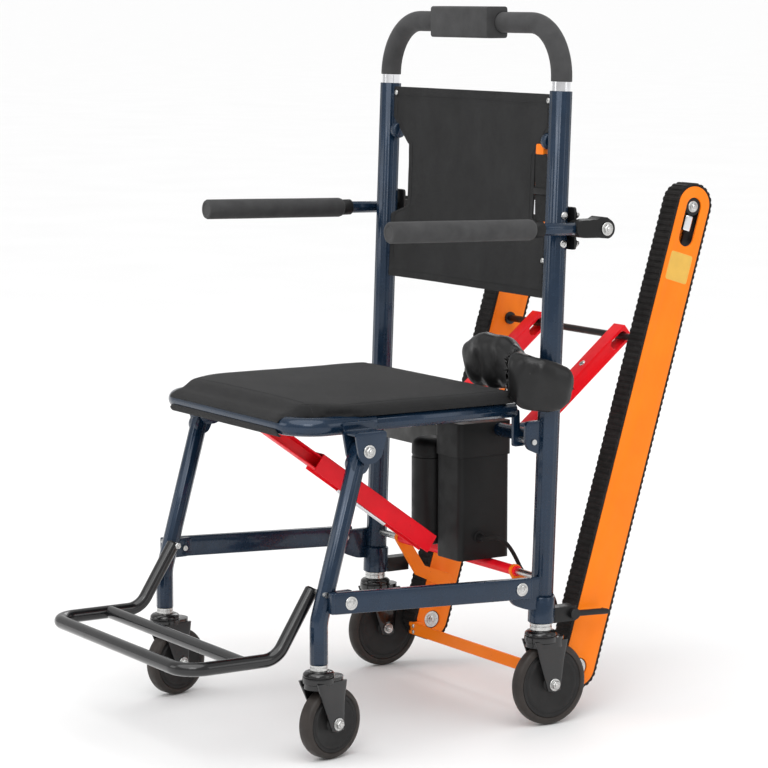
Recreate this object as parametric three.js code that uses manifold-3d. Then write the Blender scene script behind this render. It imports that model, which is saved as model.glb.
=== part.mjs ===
// A powered stair chair: a folding carrying chair on four casters with a pair of rubber
// stair tracks hinged behind its back. Millimetres, +Z up, the chair faces -Y, and +X is the
// seated person's left. The Y values below are counted from a plane 217 mm ahead of the foot
// of the back uprights; the group is then moved by Y_MID so that Y = 0 is the middle.
import * as THREE from 'three';
import { mergeVertices } from 'three/addons/utils/BufferGeometryUtils.js';
import Module from 'manifold-3d';

const wasm = await Module();
wasm.setup();

// ---- driving dimensions -------------------------------------------------------------------
const Y_MID = 84.0;               // middle of the whole chair, front to back
const GAP = 0.3;                  // air between neighbours that touch
const ROUND = 12;                 // sides of a tube

// back uprights, which lean back a little
const UPRIGHT_X = 222;
const UPRIGHT_R = 16;
const UPRIGHT_FOOT = { y: 217, z: 143 };
const UPRIGHT_LEAN = 0.0372;      // rearward mm for each mm of height
const UPRIGHT_LOW = 150;
const UPRIGHT_TOP = 903;
const COLLAR_R = 19;
const COLLAR_TOP = 188;
const BORE_R = 13.7;
const BORE_LOW = 540;
const CROSS_TUBE = { z: 412, r: 10 };

// telescopic push handle
const HANDLE_R = 13;
const HANDLE_LOW = 565;
const HANDLE_TOP = 997;
const HANDLE_BEND = 78;
const GRIP_R = 15;
const GRIP_LOW = 916;
const CONTROL_BOX = { x: 73, y0: 220, y1: 256, z0: 974, z1: 1020 };

// the folding four-bar: seat rail, front leg, lower bar and upright
const SEAT_FRONT_PIVOT = { y: -82, z: 423 };
const BAR_FRONT_PIVOT = { y: -116, z: 219 };
const BAR_REAR_PIVOT = { y: 166, z: 207 };
const SEAT_REAR_PIVOT = {
  y: SEAT_FRONT_PIVOT.y + BAR_REAR_PIVOT.y - BAR_FRONT_PIVOT.y,
  z: SEAT_FRONT_PIVOT.z + BAR_REAR_PIVOT.z - BAR_FRONT_PIVOT.z,
};
const PIN_R = 4;
const PIN_HOLE_R = 4.5;

// seat
const RAIL_X = 190;
const RAIL_R = 11;
const FRONT_R = 13;                // the front loop is a larger tube than the side rails
const FRONT_JOINT = -44;
const RAIL_Z = 454;
const RAIL_REAR = 190;
const SEAT_FRONT = -163;
const SEAT_CORNER = 45;
const PAD = { x: 203, y0: -178, y1: 188, z0: 468, z1: 484, corner: 42 };

// front legs, lower bars and footrest
const LEG_R = 12.5;
const LEG_TOP = { y: -90, z: 412 };
const LEG_BEND = { y: -152, z: 192 };
const LEG_LOW = 134;
const BAR = { x0: 236, x1: 248, half: 15, front: -146, rear: 182 };
const FOOT_X = 199;
const FOOT_R = 9.5;
const FOOT_PIVOT = { y: -147, z: 231 };
const FOOT_Z = 143;
const FOOT_BEND = -206;
const FOOT_FRONT = -347;
const FOOT_BAR = -256;

// casters
const FRONT_CASTER = { y: -152, radius: 50, width: 24, trail: 20, ring: 127, head: 23, turn: 12 };
const REAR_CASTER = { y: 217, radius: 60, width: 20, trail: 14, ring: 141, head: 24, turn: 0 };

// stair tracks
const TRACK_X = 194;
const TRACK_HALF = 17.6;
const TRACK_TOP = { y: 492, z: 733 };
const TRACK_LOW = { y: 292.5, z: 72.5 };
const CORE_R = 25;
const BELT_R = 29.5;
const CLEAT_R = 32.5;
const CLEAT_PITCH = 30;
const SLOT_R = 14;
const SLOT_LENGTH = 46;
const TRACK_HINGE = { y: 219.6, z: 213 };
const STRUT_LOW = { y: 285, z: 414 };
const STRUT_HIGH = { y: 436, z: 536 };
const STRUT = { x0: 92, x1: 118, half: 12, slot: 18, slotR: 7.6 };
const STRUT_ROD_R = 6;

// armrests
const ARM_X = 253.6;
const ARM_PIVOT = { y: 295, z: 711 };
const ARM_TUBE_R = 9;
const ARM_PAD_R = 14.8;
const ARM_FRONT = { y: -60, z: 720 };

// ---- colours ------------------------------------------------------------------------------
const paint = (color, roughness, metalness) => ({ color, roughness, metalness });
const NAVY = paint(0x1c2f47, 0.3, 0.5);
const RED = paint(0xe01530, 0.35, 0.2);
const ORANGE = paint(0xff7a14, 0.4, 0.1);
const BLACK_STEEL = paint(0x101010, 0.3, 0.5);
const BLACK_PLASTIC = paint(0x1c1c1c, 0.55, 0);
const FOAM = paint(0x3a3a3a, 0.9, 0);
const CLOTH = paint(0x2c2c2c, 0.95, 0);
const VINYL = paint(0x161616, 0.35, 0);
const RUBBER = paint(0x1d1b1a, 0.85, 0);
const WHEEL = paint(0x2f2b29, 0.7, 0);
const STEEL = paint(0xc8c8c8, 0.25, 0.9);
const STRAP = paint(0x141414, 0.9, 0);

const group = new THREE.Group();
group.position.y = -Y_MID;

// ---- helpers ------------------------------------------------------------------------------
const at = (x, y, z) => new THREE.Vector3(x, y, z);
const uprightY = (z) => UPRIGHT_FOOT.y + UPRIGHT_LEAN * (z - UPRIGHT_FOOT.z);

function solidOf(geometry) {
  const bare = geometry.clone();
  bare.deleteAttribute('normal');
  bare.deleteAttribute('uv');
  const merged = mergeVertices(bare, 1e-4);
  return new wasm.Manifold(new wasm.Mesh({
    numProp: 3,
    vertProperties: new Float32Array(merged.attributes.position.array),
    triVerts: new Uint32Array(merged.index.array),
  }));
}

function geometryOf(solid) {
  const mesh = solid.getMesh();
  const geometry = new THREE.BufferGeometry();
  geometry.setAttribute('position', new THREE.BufferAttribute(mesh.vertProperties, 3));
  geometry.setIndex(new THREE.BufferAttribute(mesh.triVerts, 1));
  return geometry;
}

const join = (...parts) => geometryOf(wasm.Manifold.union(parts.map(solidOf)));

function cut(part, ...tools) {
  return geometryOf(solidOf(part).subtract(wasm.Manifold.union(tools.map(solidOf))));
}

// The same geometry on the other side of the X = 0 plane.
function mirrored(geometry) {
  const flat = geometry.index ? geometry.toNonIndexed() : geometry.clone();
  const p = flat.attributes.position;
  for (let i = 0; i < p.count; i += 3) {
    const second = at(-p.getX(i + 1), p.getY(i + 1), p.getZ(i + 1));
    const third = at(-p.getX(i + 2), p.getY(i + 2), p.getZ(i + 2));
    p.setX(i, -p.getX(i));
    p.setXYZ(i + 1, third.x, third.y, third.z);
    p.setXYZ(i + 2, second.x, second.y, second.z);
  }
  return flat;
}

function add(name, geometry, look) {
  const faceted = geometry.index ? geometry.toNonIndexed() : geometry;
  faceted.computeVertexNormals();
  const mesh = new THREE.Mesh(faceted, new THREE.MeshStandardMaterial(look));
  mesh.name = name;
  group.add(mesh);
}

// A piece on the person's left and its mirror image on the right.
function addPair(name, geometry, look) {
  add(`${name}_left`, geometry, look);
  add(`${name}_right`, mirrored(geometry), look);
}

function box(x0, x1, y0, y1, z0, z1) {
  const geometry = new THREE.BoxGeometry(x1 - x0, y1 - y0, z1 - z0);
  geometry.translate((x0 + x1) / 2, (y0 + y1) / 2, (z0 + z1) / 2);
  return geometry;
}

// A round bar from one point to another.
function rod(from, to, radius, sides = ROUND) {
  const along = to.clone().sub(from);
  const geometry = new THREE.CylinderGeometry(radius, radius, along.length(), sides);
  const turn = new THREE.Quaternion().setFromUnitVectors(at(0, 1, 0), along.clone().normalize());
  geometry.applyQuaternion(turn);
  geometry.translate(...from.clone().add(to).divideScalar(2).toArray());
  return geometry;
}

// A pin along X through a point of the side view.
const pin = (x0, x1, place, radius = PIN_R, sides = 8) =>
  rod(at(x0, place.y, place.z), at(x1, place.y, place.z), radius, sides);

// A side-view shape, drawn in Y and Z, given a thickness along X.
function sidePlate(shape, x0, x1, curveSegments = 4) {
  const geometry = new THREE.ExtrudeGeometry(shape, { depth: x1 - x0, bevelEnabled: false, curveSegments });
  geometry.applyMatrix4(new THREE.Matrix4().makeBasis(at(0, 1, 0), at(0, 0, 1), at(1, 0, 0)));
  geometry.translate(x0, 0, 0);
  return geometry;
}

// A plan-view shape, drawn in X and Y, given a height along Z.
function slab(shape, z0, z1, curveSegments = 4) {
  const geometry = new THREE.ExtrudeGeometry(shape, { depth: z1 - z0, bevelEnabled: false, curveSegments });
  geometry.translate(0, 0, z0);
  return geometry;
}

const polygon = (points) => new THREE.Shape(points.map(([a, b]) => new THREE.Vector2(a, b)));

// A bar with round ends in the side view, from one place to another.
function link(from, to, radius) {
  const tilt = Math.atan2(to.z - from.z, to.y - from.y);
  const shape = new THREE.Shape();
  shape.absarc(from.y, from.z, radius, tilt + Math.PI / 2, tilt + 1.5 * Math.PI, false);
  shape.absarc(to.y, to.z, radius, tilt - Math.PI / 2, tilt + Math.PI / 2, false);
  return shape;
}

// A route through given points, cut off at each corner by an arc.
function rounded(points, radius, steps = 4) {
  const route = [points[0]];
  for (let i = 1; i < points.length - 1; i += 1) {
    const back = points[i - 1].clone().sub(points[i]).normalize();
    const on = points[i + 1].clone().sub(points[i]).normalize();
    const half = back.angleTo(on) / 2;
    const centre = points[i].clone()
      .addScaledVector(back.clone().add(on).normalize(), radius / Math.sin(half));
    const start = points[i].clone().addScaledVector(back, radius / Math.tan(half)).sub(centre);
    const end = points[i].clone().addScaledVector(on, radius / Math.tan(half)).sub(centre);
    const axis = start.clone().cross(end).normalize();
    const sweep = start.angleTo(end);
    for (let k = 0; k <= steps; k += 1) {
      route.push(start.clone().applyAxisAngle(axis, (sweep * k) / steps).add(centre));
    }
  }
  route.push(points[points.length - 1]);
  return route;
}

// A curve that passes through each of its points at one extrusion step.
class Route extends THREE.Curve {
  constructor(points) {
    super();
    this.points = points;
  }

  index(u) {
    return Math.round(u * (this.points.length - 1));
  }

  getPointAt(u, target = new THREE.Vector3()) {
    return target.copy(this.points[this.index(u)]);
  }

  getTangentAt(u, target = new THREE.Vector3()) {
    const i = this.index(u);
    const here = this.points[i];
    const before = this.points[Math.max(i - 1, 0)];
    const after = this.points[Math.min(i + 1, this.points.length - 1)];
    const arriving = here.clone().sub(before).normalize();
    const leaving = after.clone().sub(here).normalize();
    return target.copy(arriving).add(leaving).normalize();
  }
}

// A solid round bar along a route.
function bentRod(points, radius, sides = ROUND) {
  const ring = new THREE.Shape();
  for (let i = 0; i < sides; i += 1) {
    const angle = (2 * Math.PI * i) / sides;
    const spot = [radius * Math.cos(angle), radius * Math.sin(angle)];
    if (i === 0) ring.moveTo(...spot);
    else ring.lineTo(...spot);
  }
  return new THREE.ExtrudeGeometry(ring, { steps: points.length - 1, extrudePath: new Route(points) });
}

// ---- main frame ---------------------------------------------------------------------------
const uprightAt = (z, x = UPRIGHT_X) => at(x, uprightY(z), z);

function frameSide() {
  const tube = rod(uprightAt(UPRIGHT_LOW), uprightAt(UPRIGHT_TOP), UPRIGHT_R);
  const collar = rod(uprightAt(UPRIGHT_LOW), uprightAt(COLLAR_TOP), COLLAR_R);
  const seatEar = sidePlate(polygon([
    [SEAT_REAR_PIVOT.y - 12, 440], [SEAT_REAR_PIVOT.y - 13, SEAT_REAR_PIVOT.z - 4],
    [SEAT_REAR_PIVOT.y - 6, SEAT_REAR_PIVOT.z - 11], [220, 392], [225, 440],
  ]), 219, 225);
  const lowArc = new THREE.Shape();
  lowArc.moveTo(218, 172);
  lowArc.lineTo(218, 218);
  lowArc.lineTo(BAR_REAR_PIVOT.y - 12, 218);
  lowArc.lineTo(BAR_REAR_PIVOT.y - 12, 200);
  lowArc.quadraticCurveTo(BAR_REAR_PIVOT.y - 8, 176, 196, 172);
  const lowEar = sidePlate(lowArc, 226, 232);
  const seatPin = pin(183, 222, SEAT_REAR_PIVOT);
  const seatPinHead = pin(179.5, 185, SEAT_REAR_PIVOT, 7, 6);
  const hingeStub = pin(148, 208, TRACK_HINGE, 5);
  const brakeBlock = box(212, 232, 230, 274, 148, 170);
  return cut(
    join(tube, collar, seatEar, seatPin, seatPinHead, lowEar, hingeStub, brakeBlock),
    rod(uprightAt(BORE_LOW), uprightAt(UPRIGHT_TOP + 5), BORE_R),
    rod(at(UPRIGHT_X, REAR_CASTER.y, UPRIGHT_LOW - 5), at(UPRIGHT_X, REAR_CASTER.y, 185), 6.5),
    pin(220, 235, BAR_REAR_PIVOT, PIN_HOLE_R),
  );
}

// The strut's hinge plate, on the rear of the cross tube, with its pin.
function strutLug() {
  const tube = { y: uprightY(CROSS_TUBE.z), z: CROSS_TUBE.z };
  const plate = sidePlate(link(tube, STRUT_LOW, 9.5), STRUT.x1 + 2, STRUT.x1 + 8);
  return join(plate, pin(STRUT.x0, STRUT.x1 + 4, STRUT_LOW, 5));
}

function mainFrame() {
  const side = frameSide();
  const cross = rod(uprightAt(CROSS_TUBE.z, -UPRIGHT_X), uprightAt(CROSS_TUBE.z), CROSS_TUBE.r);
  const lug = strutLug();
  return join(side, mirrored(side), cross, lug, mirrored(lug));
}

// ---- push handle --------------------------------------------------------------------------
const handleCorner = (side) => uprightAt(HANDLE_TOP, side * UPRIGHT_X);

function handleRoute(low) {
  return rounded([
    uprightAt(low), handleCorner(1), handleCorner(-1), uprightAt(low, -UPRIGHT_X),
  ], HANDLE_BEND, 6);
}

function handleGrip() {
  const reach = CONTROL_BOX.x + GAP;
  const outer = rounded([uprightAt(GRIP_LOW), handleCorner(1), at(reach, handleCorner(1).y, HANDLE_TOP)],
    HANDLE_BEND, 6);
  const past = [outer[0].clone().add(at(0, -UPRIGHT_LEAN * 5, -5)), ...outer.slice(1, -1),
    outer[outer.length - 1].clone().add(at(-5, 0, 0))];
  return cut(bentRod(outer, GRIP_R), bentRod(past, HANDLE_R + GAP));
}

function controlBox() {
  const { x, y0, y1, z0, z1 } = CONTROL_BOX;
  const middle = (z0 + z1) / 2;
  const section = polygon([
    [y0 + 5, z0], [y1, z0], [y1, z0 + 7], [y1, z1 - 7], [y1, z1], [y0 + 5, z1], [y0, z1 - 5], [y0, z0 + 5],
  ]);
  return cut(
    sidePlate(section, -x, x),
    rod(at(-x - 5, handleCorner(1).y, HANDLE_TOP), at(x + 5, handleCorner(1).y, HANDLE_TOP), HANDLE_R + GAP),
    box(-x - 5, x + 5, handleCorner(1).y, y1 + 5, middle - HANDLE_R - GAP, middle + HANDLE_R + GAP),
  );
}

function lockKnob() {
  const z = 832;
  const y = uprightY(z);
  const inner = UPRIGHT_X - UPRIGHT_R;
  return join(
    rod(at(inner - 15, y, z), at(inner - 3, y, z), 12, 12),
    rod(at(inner - 4, y, z), at(inner - GAP, y, z), 5, 12),
  );
}

// ---- armrests -----------------------------------------------------------------------------
const armAt = (y) => at(ARM_X, y,
  ARM_PIVOT.z + ((ARM_FRONT.z - ARM_PIVOT.z) * (y - ARM_PIVOT.y)) / (ARM_FRONT.y - ARM_PIVOT.y));

function armBracket() {
  const saddle = box(204, 240, 257.6, 261.6, 680, 742);
  const lug = sidePlate(link({ y: 274, z: ARM_PIVOT.z }, ARM_PIVOT, 13), 226, 238, 4);
  return join(saddle, lug, pin(230, 268, ARM_PIVOT, 5), pin(267, 271, ARM_PIVOT, 8, 6));
}

function armTube() {
  const tube = rod(armAt(ARM_FRONT.y + 6), armAt(ARM_PIVOT.y - 40), ARM_TUBE_R, 12);
  const socket = sidePlate(link({ y: 258, z: 712 }, ARM_PIVOT, 12.5), 241, 265.6);
  return cut(join(tube, socket), pin(236, 270, ARM_PIVOT, 5.4));
}

function armPad() {
  return cut(
    rod(armAt(ARM_FRONT.y), armAt(176), ARM_PAD_R, 16),
    rod(armAt(ARM_FRONT.y + 5.6), armAt(182), ARM_TUBE_R + GAP, 12),
  );
}

// ---- backrest, belt and strap -------------------------------------------------------------
function backrest() {
  const half = UPRIGHT_X - UPRIGHT_R - 0.5;
  const waist = 164;
  const right = [[half, 611], [half, 704], [waist + 6, 712], [waist, 722], [waist, 818], [waist + 12, 836],
    [half, 852], [half, 898]];
  const left = right.map(([x, z]) => [-x, z]).reverse();
  const sheet = new THREE.ExtrudeGeometry(polygon([...right, ...left]), { depth: 4, bevelEnabled: false });
  // the sheet's height runs up the lean of the uprights
  sheet.applyMatrix4(new THREE.Matrix4().set(
    1, 0, 0, 0,
    0, UPRIGHT_LEAN, -1, uprightY(0) + 6,
    0, 1, 0, 0,
    0, 0, 0, 1,
  ));
  return sheet;
}

function beltPad() {
  const behindSeat = polygon([[52, 198], [60, 192], [190, 192], [202, 176], [222, 170], [246, 176],
    [260, 196], [262, 240], [254, 250], [242, 244], [241, 206], [234, 196], [222, 193], [208, 200],
    [198, 214], [60, 214], [52, 208]]);
  const lowLobe = polygon([[204, 176], [222, 166], [246, 172], [260, 196], [262, 240], [254, 250],
    [242, 244], [241, 206], [234, 196], [222, 193], [208, 200]]);
  return join(slab(behindSeat, 489, 540), slab(lowLobe, 458, 500));
}

function strapBundle() {
  return join(box(168, 204, 238, 252, 716, 816), box(171, 189, 238, 250, 812, 828));
}

// ---- seat ---------------------------------------------------------------------------------
function seatBrackets() {
  const hanger = sidePlate(polygon([[-11, -10], [8, -10], [8, 8], [0, 14], [-1, 43], [-11, 43]]
    .map(([y, z]) => [SEAT_REAR_PIVOT.y + y, SEAT_REAR_PIVOT.z + z])), RAIL_X - 4, RAIL_X + 2);
  const bridge = box(RAIL_X - 5, 240, -100, -52, 443, 448);
  const cheek = polygon([[-100, 446], [-96, 412], [-88, 406], [-72, 406], [-62, 414], [-56, 446]]);
  return join(hanger, bridge, sidePlate(cheek, 203, 208), sidePlate(cheek, 236, 240));
}

function seatFrame() {
  const loop = rounded([
    at(RAIL_X, FRONT_JOINT, RAIL_Z), at(RAIL_X, SEAT_FRONT, RAIL_Z),
    at(-RAIL_X, SEAT_FRONT, RAIL_Z), at(-RAIL_X, FRONT_JOINT, RAIL_Z),
  ], SEAT_CORNER, 4);
  const rail = rod(at(RAIL_X, FRONT_JOINT - 10, RAIL_Z), at(RAIL_X, RAIL_REAR, RAIL_Z), RAIL_R);
  const side = seatBrackets();
  const rearBar = rod(at(-RAIL_X, 176, RAIL_Z), at(RAIL_X, 176, RAIL_Z), 8);
  return cut(
    join(bentRod(loop, FRONT_R), rail, mirrored(rail), side, mirrored(side), rearBar),
    pin(180, 250, SEAT_FRONT_PIVOT, PIN_HOLE_R), pin(-250, -180, SEAT_FRONT_PIVOT, PIN_HOLE_R),
    pin(180, 200, SEAT_REAR_PIVOT, PIN_HOLE_R), pin(-200, -180, SEAT_REAR_PIVOT, PIN_HOLE_R),
  );
}

function seatPad() {
  const { x, y0, y1, z0, z1, corner } = PAD;
  const outline = new THREE.Shape();
  outline.moveTo(x, y1);
  outline.lineTo(-x, y1);
  outline.lineTo(-x, y0 + corner);
  outline.absarc(-x + corner, y0 + corner, corner, Math.PI, 1.5 * Math.PI, false);
  outline.absarc(x - corner, y0 + corner, corner, 1.5 * Math.PI, 2 * Math.PI, false);
  return slab(outline, z0, z1);
}

// a bolt with a head at its outer end and a nut at the inner end
function bolt(x0, x1, place) {
  return join(pin(x0, x1, place), pin(x1 - 1, x1 + 4, place, 8, 6), pin(x0 - 4, x0 + 1, place, 7, 6));
}

// ---- red telescopic brace under the seat --------------------------------------------------
const BRACE_X = { low: 50, high: 75 };
const BRACE_START = { y: -62, z: 384 };
const BRACE_END = { y: 128, z: 248 };

// A channel, open below, between two places of the side view.
function channel(x0, x1, from, to, half, wall) {
  const tilt = Math.atan2(to.z - from.z, to.y - from.y);
  const length = Math.hypot(to.z - from.z, to.y - from.y);
  const body = box(x0, x1, 0, length, -half, half);
  const hollow = box(x0 + wall, x1 - wall, -1, length + 1, -half - 1, half - wall);
  const open = cut(body, hollow);
  open.rotateX(tilt);
  open.translate(0, from.y, from.z);
  return open;
}

const braceOuter = () => channel(BRACE_X.low, BRACE_X.high, BRACE_START, BRACE_END, 14, 2.5);

function braceInner() {
  const lift = { y: -142, z: 441 };
  const inside = channel(BRACE_X.low + 3, BRACE_X.high - 3, lift, { y: 10, z: 332.6 }, 10, 2);
  return inside;
}

const braceRod = () => rod(at(62.5, -20, 348), at(62.5, 60, 291), 4, 12);

// ---- motor and battery --------------------------------------------------------------------
function motorPlate() {
  return box(-184, 35.5, 208.4, 211.4, 366, 402);
}

function motorHousing() {
  const body = rod(at(4, 171, 236), at(4, 171, 384), 28, 20);
  const dome = rod(at(4, 171, 383.5), at(4, 171, 395), 20, 20);
  return join(body, dome, box(-16, 24, 190, 208, 300, 380));
}

const batteryBox = () => box(36, 100, 159, 247, 222.5, 374);

function batteryCap() {
  const tube = { y: uprightY(CROSS_TUBE.z), z: CROSS_TUBE.z };
  return cut(box(35.8, 102, 157, 249, 374.3, 424), pin(30, 108, tube, CROSS_TUBE.r + 0.5, ROUND));
}

function batteryCable() {
  const route = rounded([
    at(100.3, 192, 256), at(112, 192, 256), at(112, 226, 252), at(112, 256, 202), at(124, 280, 193),
    at(146.6, 298, 148),
  ], 9, 3);
  return bentRod(route, 3, 8);
}

// ---- front legs and footrest --------------------------------------------------------------
function frontLeg() {
  const tube = bentRod(rounded([
    at(UPRIGHT_X, LEG_TOP.y, LEG_TOP.z), at(UPRIGHT_X, LEG_BEND.y, LEG_BEND.z),
    at(UPRIGHT_X, LEG_BEND.y, LEG_LOW),
  ], 60, 4), LEG_R);
  const ear = sidePlate(link({ y: -90, z: 406 }, SEAT_FRONT_PIVOT, 13), 211, 233);
  const barEar = sidePlate(polygon([[-146, 206], [-110, 206], [-104, 212], [-104, 234], [-138, 234]]), 226, 232);
  return cut(
    join(tube, ear, barEar),
    pin(200, 240, SEAT_FRONT_PIVOT, PIN_HOLE_R),
    pin(220, 240, BAR_FRONT_PIVOT, PIN_HOLE_R),
    pin(200, 240, FOOT_PIVOT, PIN_HOLE_R),
    rod(at(UPRIGHT_X, LEG_BEND.y, LEG_LOW - 5), at(UPRIGHT_X, LEG_BEND.y, 170), 6.5),
  );
}

function lowerBar() {
  const slope = (BAR_REAR_PIVOT.z - BAR_FRONT_PIVOT.z) / (BAR_REAR_PIVOT.y - BAR_FRONT_PIVOT.y);
  const level = (y) => BAR_FRONT_PIVOT.z + slope * (y - BAR_FRONT_PIVOT.y);
  const outline = polygon([
    [BAR.front, level(BAR.front) - BAR.half], [BAR.rear, level(BAR.rear) - BAR.half],
    [BAR.rear, level(BAR.rear) + BAR.half], [BAR.front, level(BAR.front) + BAR.half],
  ]);
  const rivet = (place) => [pin(222, BAR.x1 + 1, place), pin(BAR.x1 - 1, BAR.x1 + 3.5, place, 8, 12)];
  return join(sidePlate(outline, BAR.x0, BAR.x1), ...rivet(BAR_FRONT_PIVOT), ...rivet(BAR_REAR_PIVOT));
}

function footrest() {
  const side = (s) => [at(s * FOOT_X, FOOT_PIVOT.y - 1, FOOT_PIVOT.z + 4), at(s * FOOT_X, FOOT_BEND, FOOT_Z)];
  const loop = rounded([
    ...side(1), at(FOOT_X, FOOT_FRONT, FOOT_Z), at(-FOOT_X, FOOT_FRONT, FOOT_Z), ...side(-1).reverse(),
  ], 34, 4);
  const rivet = pin(FOOT_X, 235.4, FOOT_PIVOT);
  return join(
    bentRod(loop, FOOT_R),
    rod(at(-FOOT_X, FOOT_BAR, FOOT_Z), at(FOOT_X, FOOT_BAR, FOOT_Z), FOOT_R),
    rivet, mirrored(rivet),
  );
}

// ---- casters ------------------------------------------------------------------------------
// Each piece is made about the stem's axis, turned to its resting heading and then moved out.
function place(geometry, caster, side) {
  geometry.rotateZ(THREE.MathUtils.degToRad(caster.turn));
  geometry.translate(side * UPRIGHT_X, caster.y, 0);
  return geometry;
}

function fork({ radius, width, trail, ring, head }) {
  const half = width / 2;
  const cheek = new THREE.Shape();
  cheek.moveTo(-head + 4, ring - 4);
  cheek.lineTo(-head + 8, ring - 24);
  cheek.lineTo(trail - 11, radius);
  cheek.absarc(trail, radius, 11, Math.PI, 2 * Math.PI, false);
  cheek.lineTo(head + 2, ring - 22);
  cheek.lineTo(head - 3, ring - 4);
  const cheeks = [sidePlate(cheek, half + 2, half + 6), sidePlate(cheek, -half - 6, -half - 2)];
  const crown = rod(at(0, 0, ring - 16), at(0, 0, ring - 1), head, 16);
  const stem = rod(at(0, 0, ring - 2), at(0, 0, ring + 40), 6, 12);
  const washer = rod(at(0, 0, ring - 1.5), at(0, 0, ring + 6.6), 14, 12);
  const middle = { y: trail, z: radius };
  const axle = [
    pin(-half - 4, half + 4, middle), pin(half + 5, half + 10, middle, 8, 6),
    pin(-half - 9, -half - 5, middle, 7, 6),
  ];
  return join(crown, ...cheeks, stem, washer, ...axle);
}

function tyre({ radius, width, trail }) {
  const half = width / 2;
  const inner = radius * 0.6;
  const profile = [[inner, -half + 2], [radius - 7, -half], [radius - 2, -half + 3], [radius, -half + 7],
    [radius, half - 7], [radius - 2, half - 3], [radius - 7, half], [inner, half - 2], [inner, -half + 2]];
  const ring = new THREE.LatheGeometry(profile.map(([r, w]) => new THREE.Vector2(r, w)), 20);
  ring.rotateZ(-Math.PI / 2);
  ring.translate(0, trail, radius);
  return ring;
}

function hub({ radius, width, trail }) {
  const half = width / 2;
  const outer = radius * 0.6 - GAP;
  const profile = [[PIN_HOLE_R, -half - 1], [10, -half - 1], [12, -half + 3], [outer, -half + 3],
    [outer, half - 3], [12, half - 3], [10, half + 1], [PIN_HOLE_R, half + 1], [PIN_HOLE_R, -half - 1]];
  const disc = new THREE.LatheGeometry(profile.map(([r, w]) => new THREE.Vector2(r, w)), 20);
  disc.rotateZ(-Math.PI / 2);
  disc.translate(0, trail, radius);
  return disc;
}

function addCaster(prefix, caster, side, label) {
  add(`${prefix}_fork_${label}`, place(fork(caster), caster, side), BLACK_STEEL);
  add(`${prefix}_tyre_${label}`, place(tyre(caster), caster, side), WHEEL);
  add(`${prefix}_hub_${label}`, place(hub(caster), caster, side), BLACK_PLASTIC);
}

function brakePedal() {
  const hinge = { y: 266, z: 159 };
  return join(
    pin(232.4, 240, hinge, 8, 16),
    rod(at(236.2, 262, 159.2), at(236.2, 324, 156), 3.6, 12),
    rod(at(236.2, 322, 156), at(222, 326, 155.6), 3.6, 12),
  );
}

// ---- stair tracks -------------------------------------------------------------------------
const trackRun = Math.hypot(TRACK_TOP.y - TRACK_LOW.y, TRACK_TOP.z - TRACK_LOW.z);
const trackTilt = Math.atan2(TRACK_TOP.z - TRACK_LOW.z, TRACK_TOP.y - TRACK_LOW.y);

// A place on the track's middle line, counted from the top roller towards the floor.
const downTrack = (run) => ({
  y: TRACK_TOP.y - run * Math.cos(trackTilt),
  z: TRACK_TOP.z - run * Math.sin(trackTilt),
});

function trackCore() {
  const shape = link(TRACK_LOW, TRACK_TOP, CORE_R);
  const slot = link(downTrack(SLOT_LENGTH + 2), downTrack(2), SLOT_R);
  const drive = new THREE.Path();
  drive.absarc(TRACK_LOW.y, TRACK_LOW.z, SLOT_R, 0, 2 * Math.PI, true);
  shape.holes.push(new THREE.Path(slot.getPoints(6).reverse()), drive);
  return sidePlate(shape, TRACK_X - TRACK_HALF, TRACK_X + TRACK_HALF, 8);
}

// The belt is a loop with a row of cleats; the outline steps out and in once each pitch.
function trackBelt() {
  const around = 2 * trackRun + 2 * Math.PI * BELT_R;
  const cleats = Math.round(around / CLEAT_PITCH);
  const pitch = around / cleats;
  const outline = [];
  const spot = (distance, radius) => {
    const d = distance % around;
    const bend = Math.PI * BELT_R;
    const side = (angle, centre) => [
      centre.y + radius * Math.cos(angle), centre.z + radius * Math.sin(angle)];
    const along = (run, start, angle) => [
      start.y + run * Math.cos(trackTilt) + radius * Math.cos(angle),
      start.z + run * Math.sin(trackTilt) + radius * Math.sin(angle)];
    if (d < trackRun) return along(d, TRACK_LOW, trackTilt - Math.PI / 2);
    if (d < trackRun + bend) return side(trackTilt - Math.PI / 2 + (d - trackRun) / BELT_R, TRACK_TOP);
    if (d < 2 * trackRun + bend) return along(trackRun - (d - trackRun - bend), TRACK_LOW, trackTilt + Math.PI / 2);
    return side(trackTilt + Math.PI / 2 + (d - 2 * trackRun - bend) / BELT_R, TRACK_LOW);
  };
  for (let i = 0; i < cleats; i += 1) {
    outline.push(spot((i + 0.05) * pitch, BELT_R), spot((i + 0.15) * pitch, CLEAT_R),
      spot((i + 0.55) * pitch, CLEAT_R), spot((i + 0.65) * pitch, BELT_R));
  }
  const shape = polygon(outline);
  shape.holes.push(new THREE.Path(link(TRACK_LOW, TRACK_TOP, CORE_R + GAP + 0.3).getPoints(8).reverse()));
  return sidePlate(shape, TRACK_X - TRACK_HALF, TRACK_X + TRACK_HALF);
}

const tensionRoller = () => join(
  pin(TRACK_X - 15, TRACK_X + 15, downTrack(2), SLOT_R - 0.8, 16),
  pin(TRACK_X - 17, TRACK_X + 17, downTrack(2), 6, 6),
);

const driveHub = () => join(
  pin(TRACK_X - 16, TRACK_X + 16, TRACK_LOW, SLOT_R - 0.8, 16),
  pin(TRACK_X - 17.4, TRACK_X + 17.4, TRACK_LOW, 6, 6),
);

function trackCrossBar() {
  const inner = TRACK_X - TRACK_HALF - GAP;
  return join(
    box(-inner, inner, 250, 255, 55, 74),
    box(inner - 4, inner, 250, 272, 56, 73),
    box(-inner, -inner + 4, 250, 272, 56, 73),
  );
}

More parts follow.
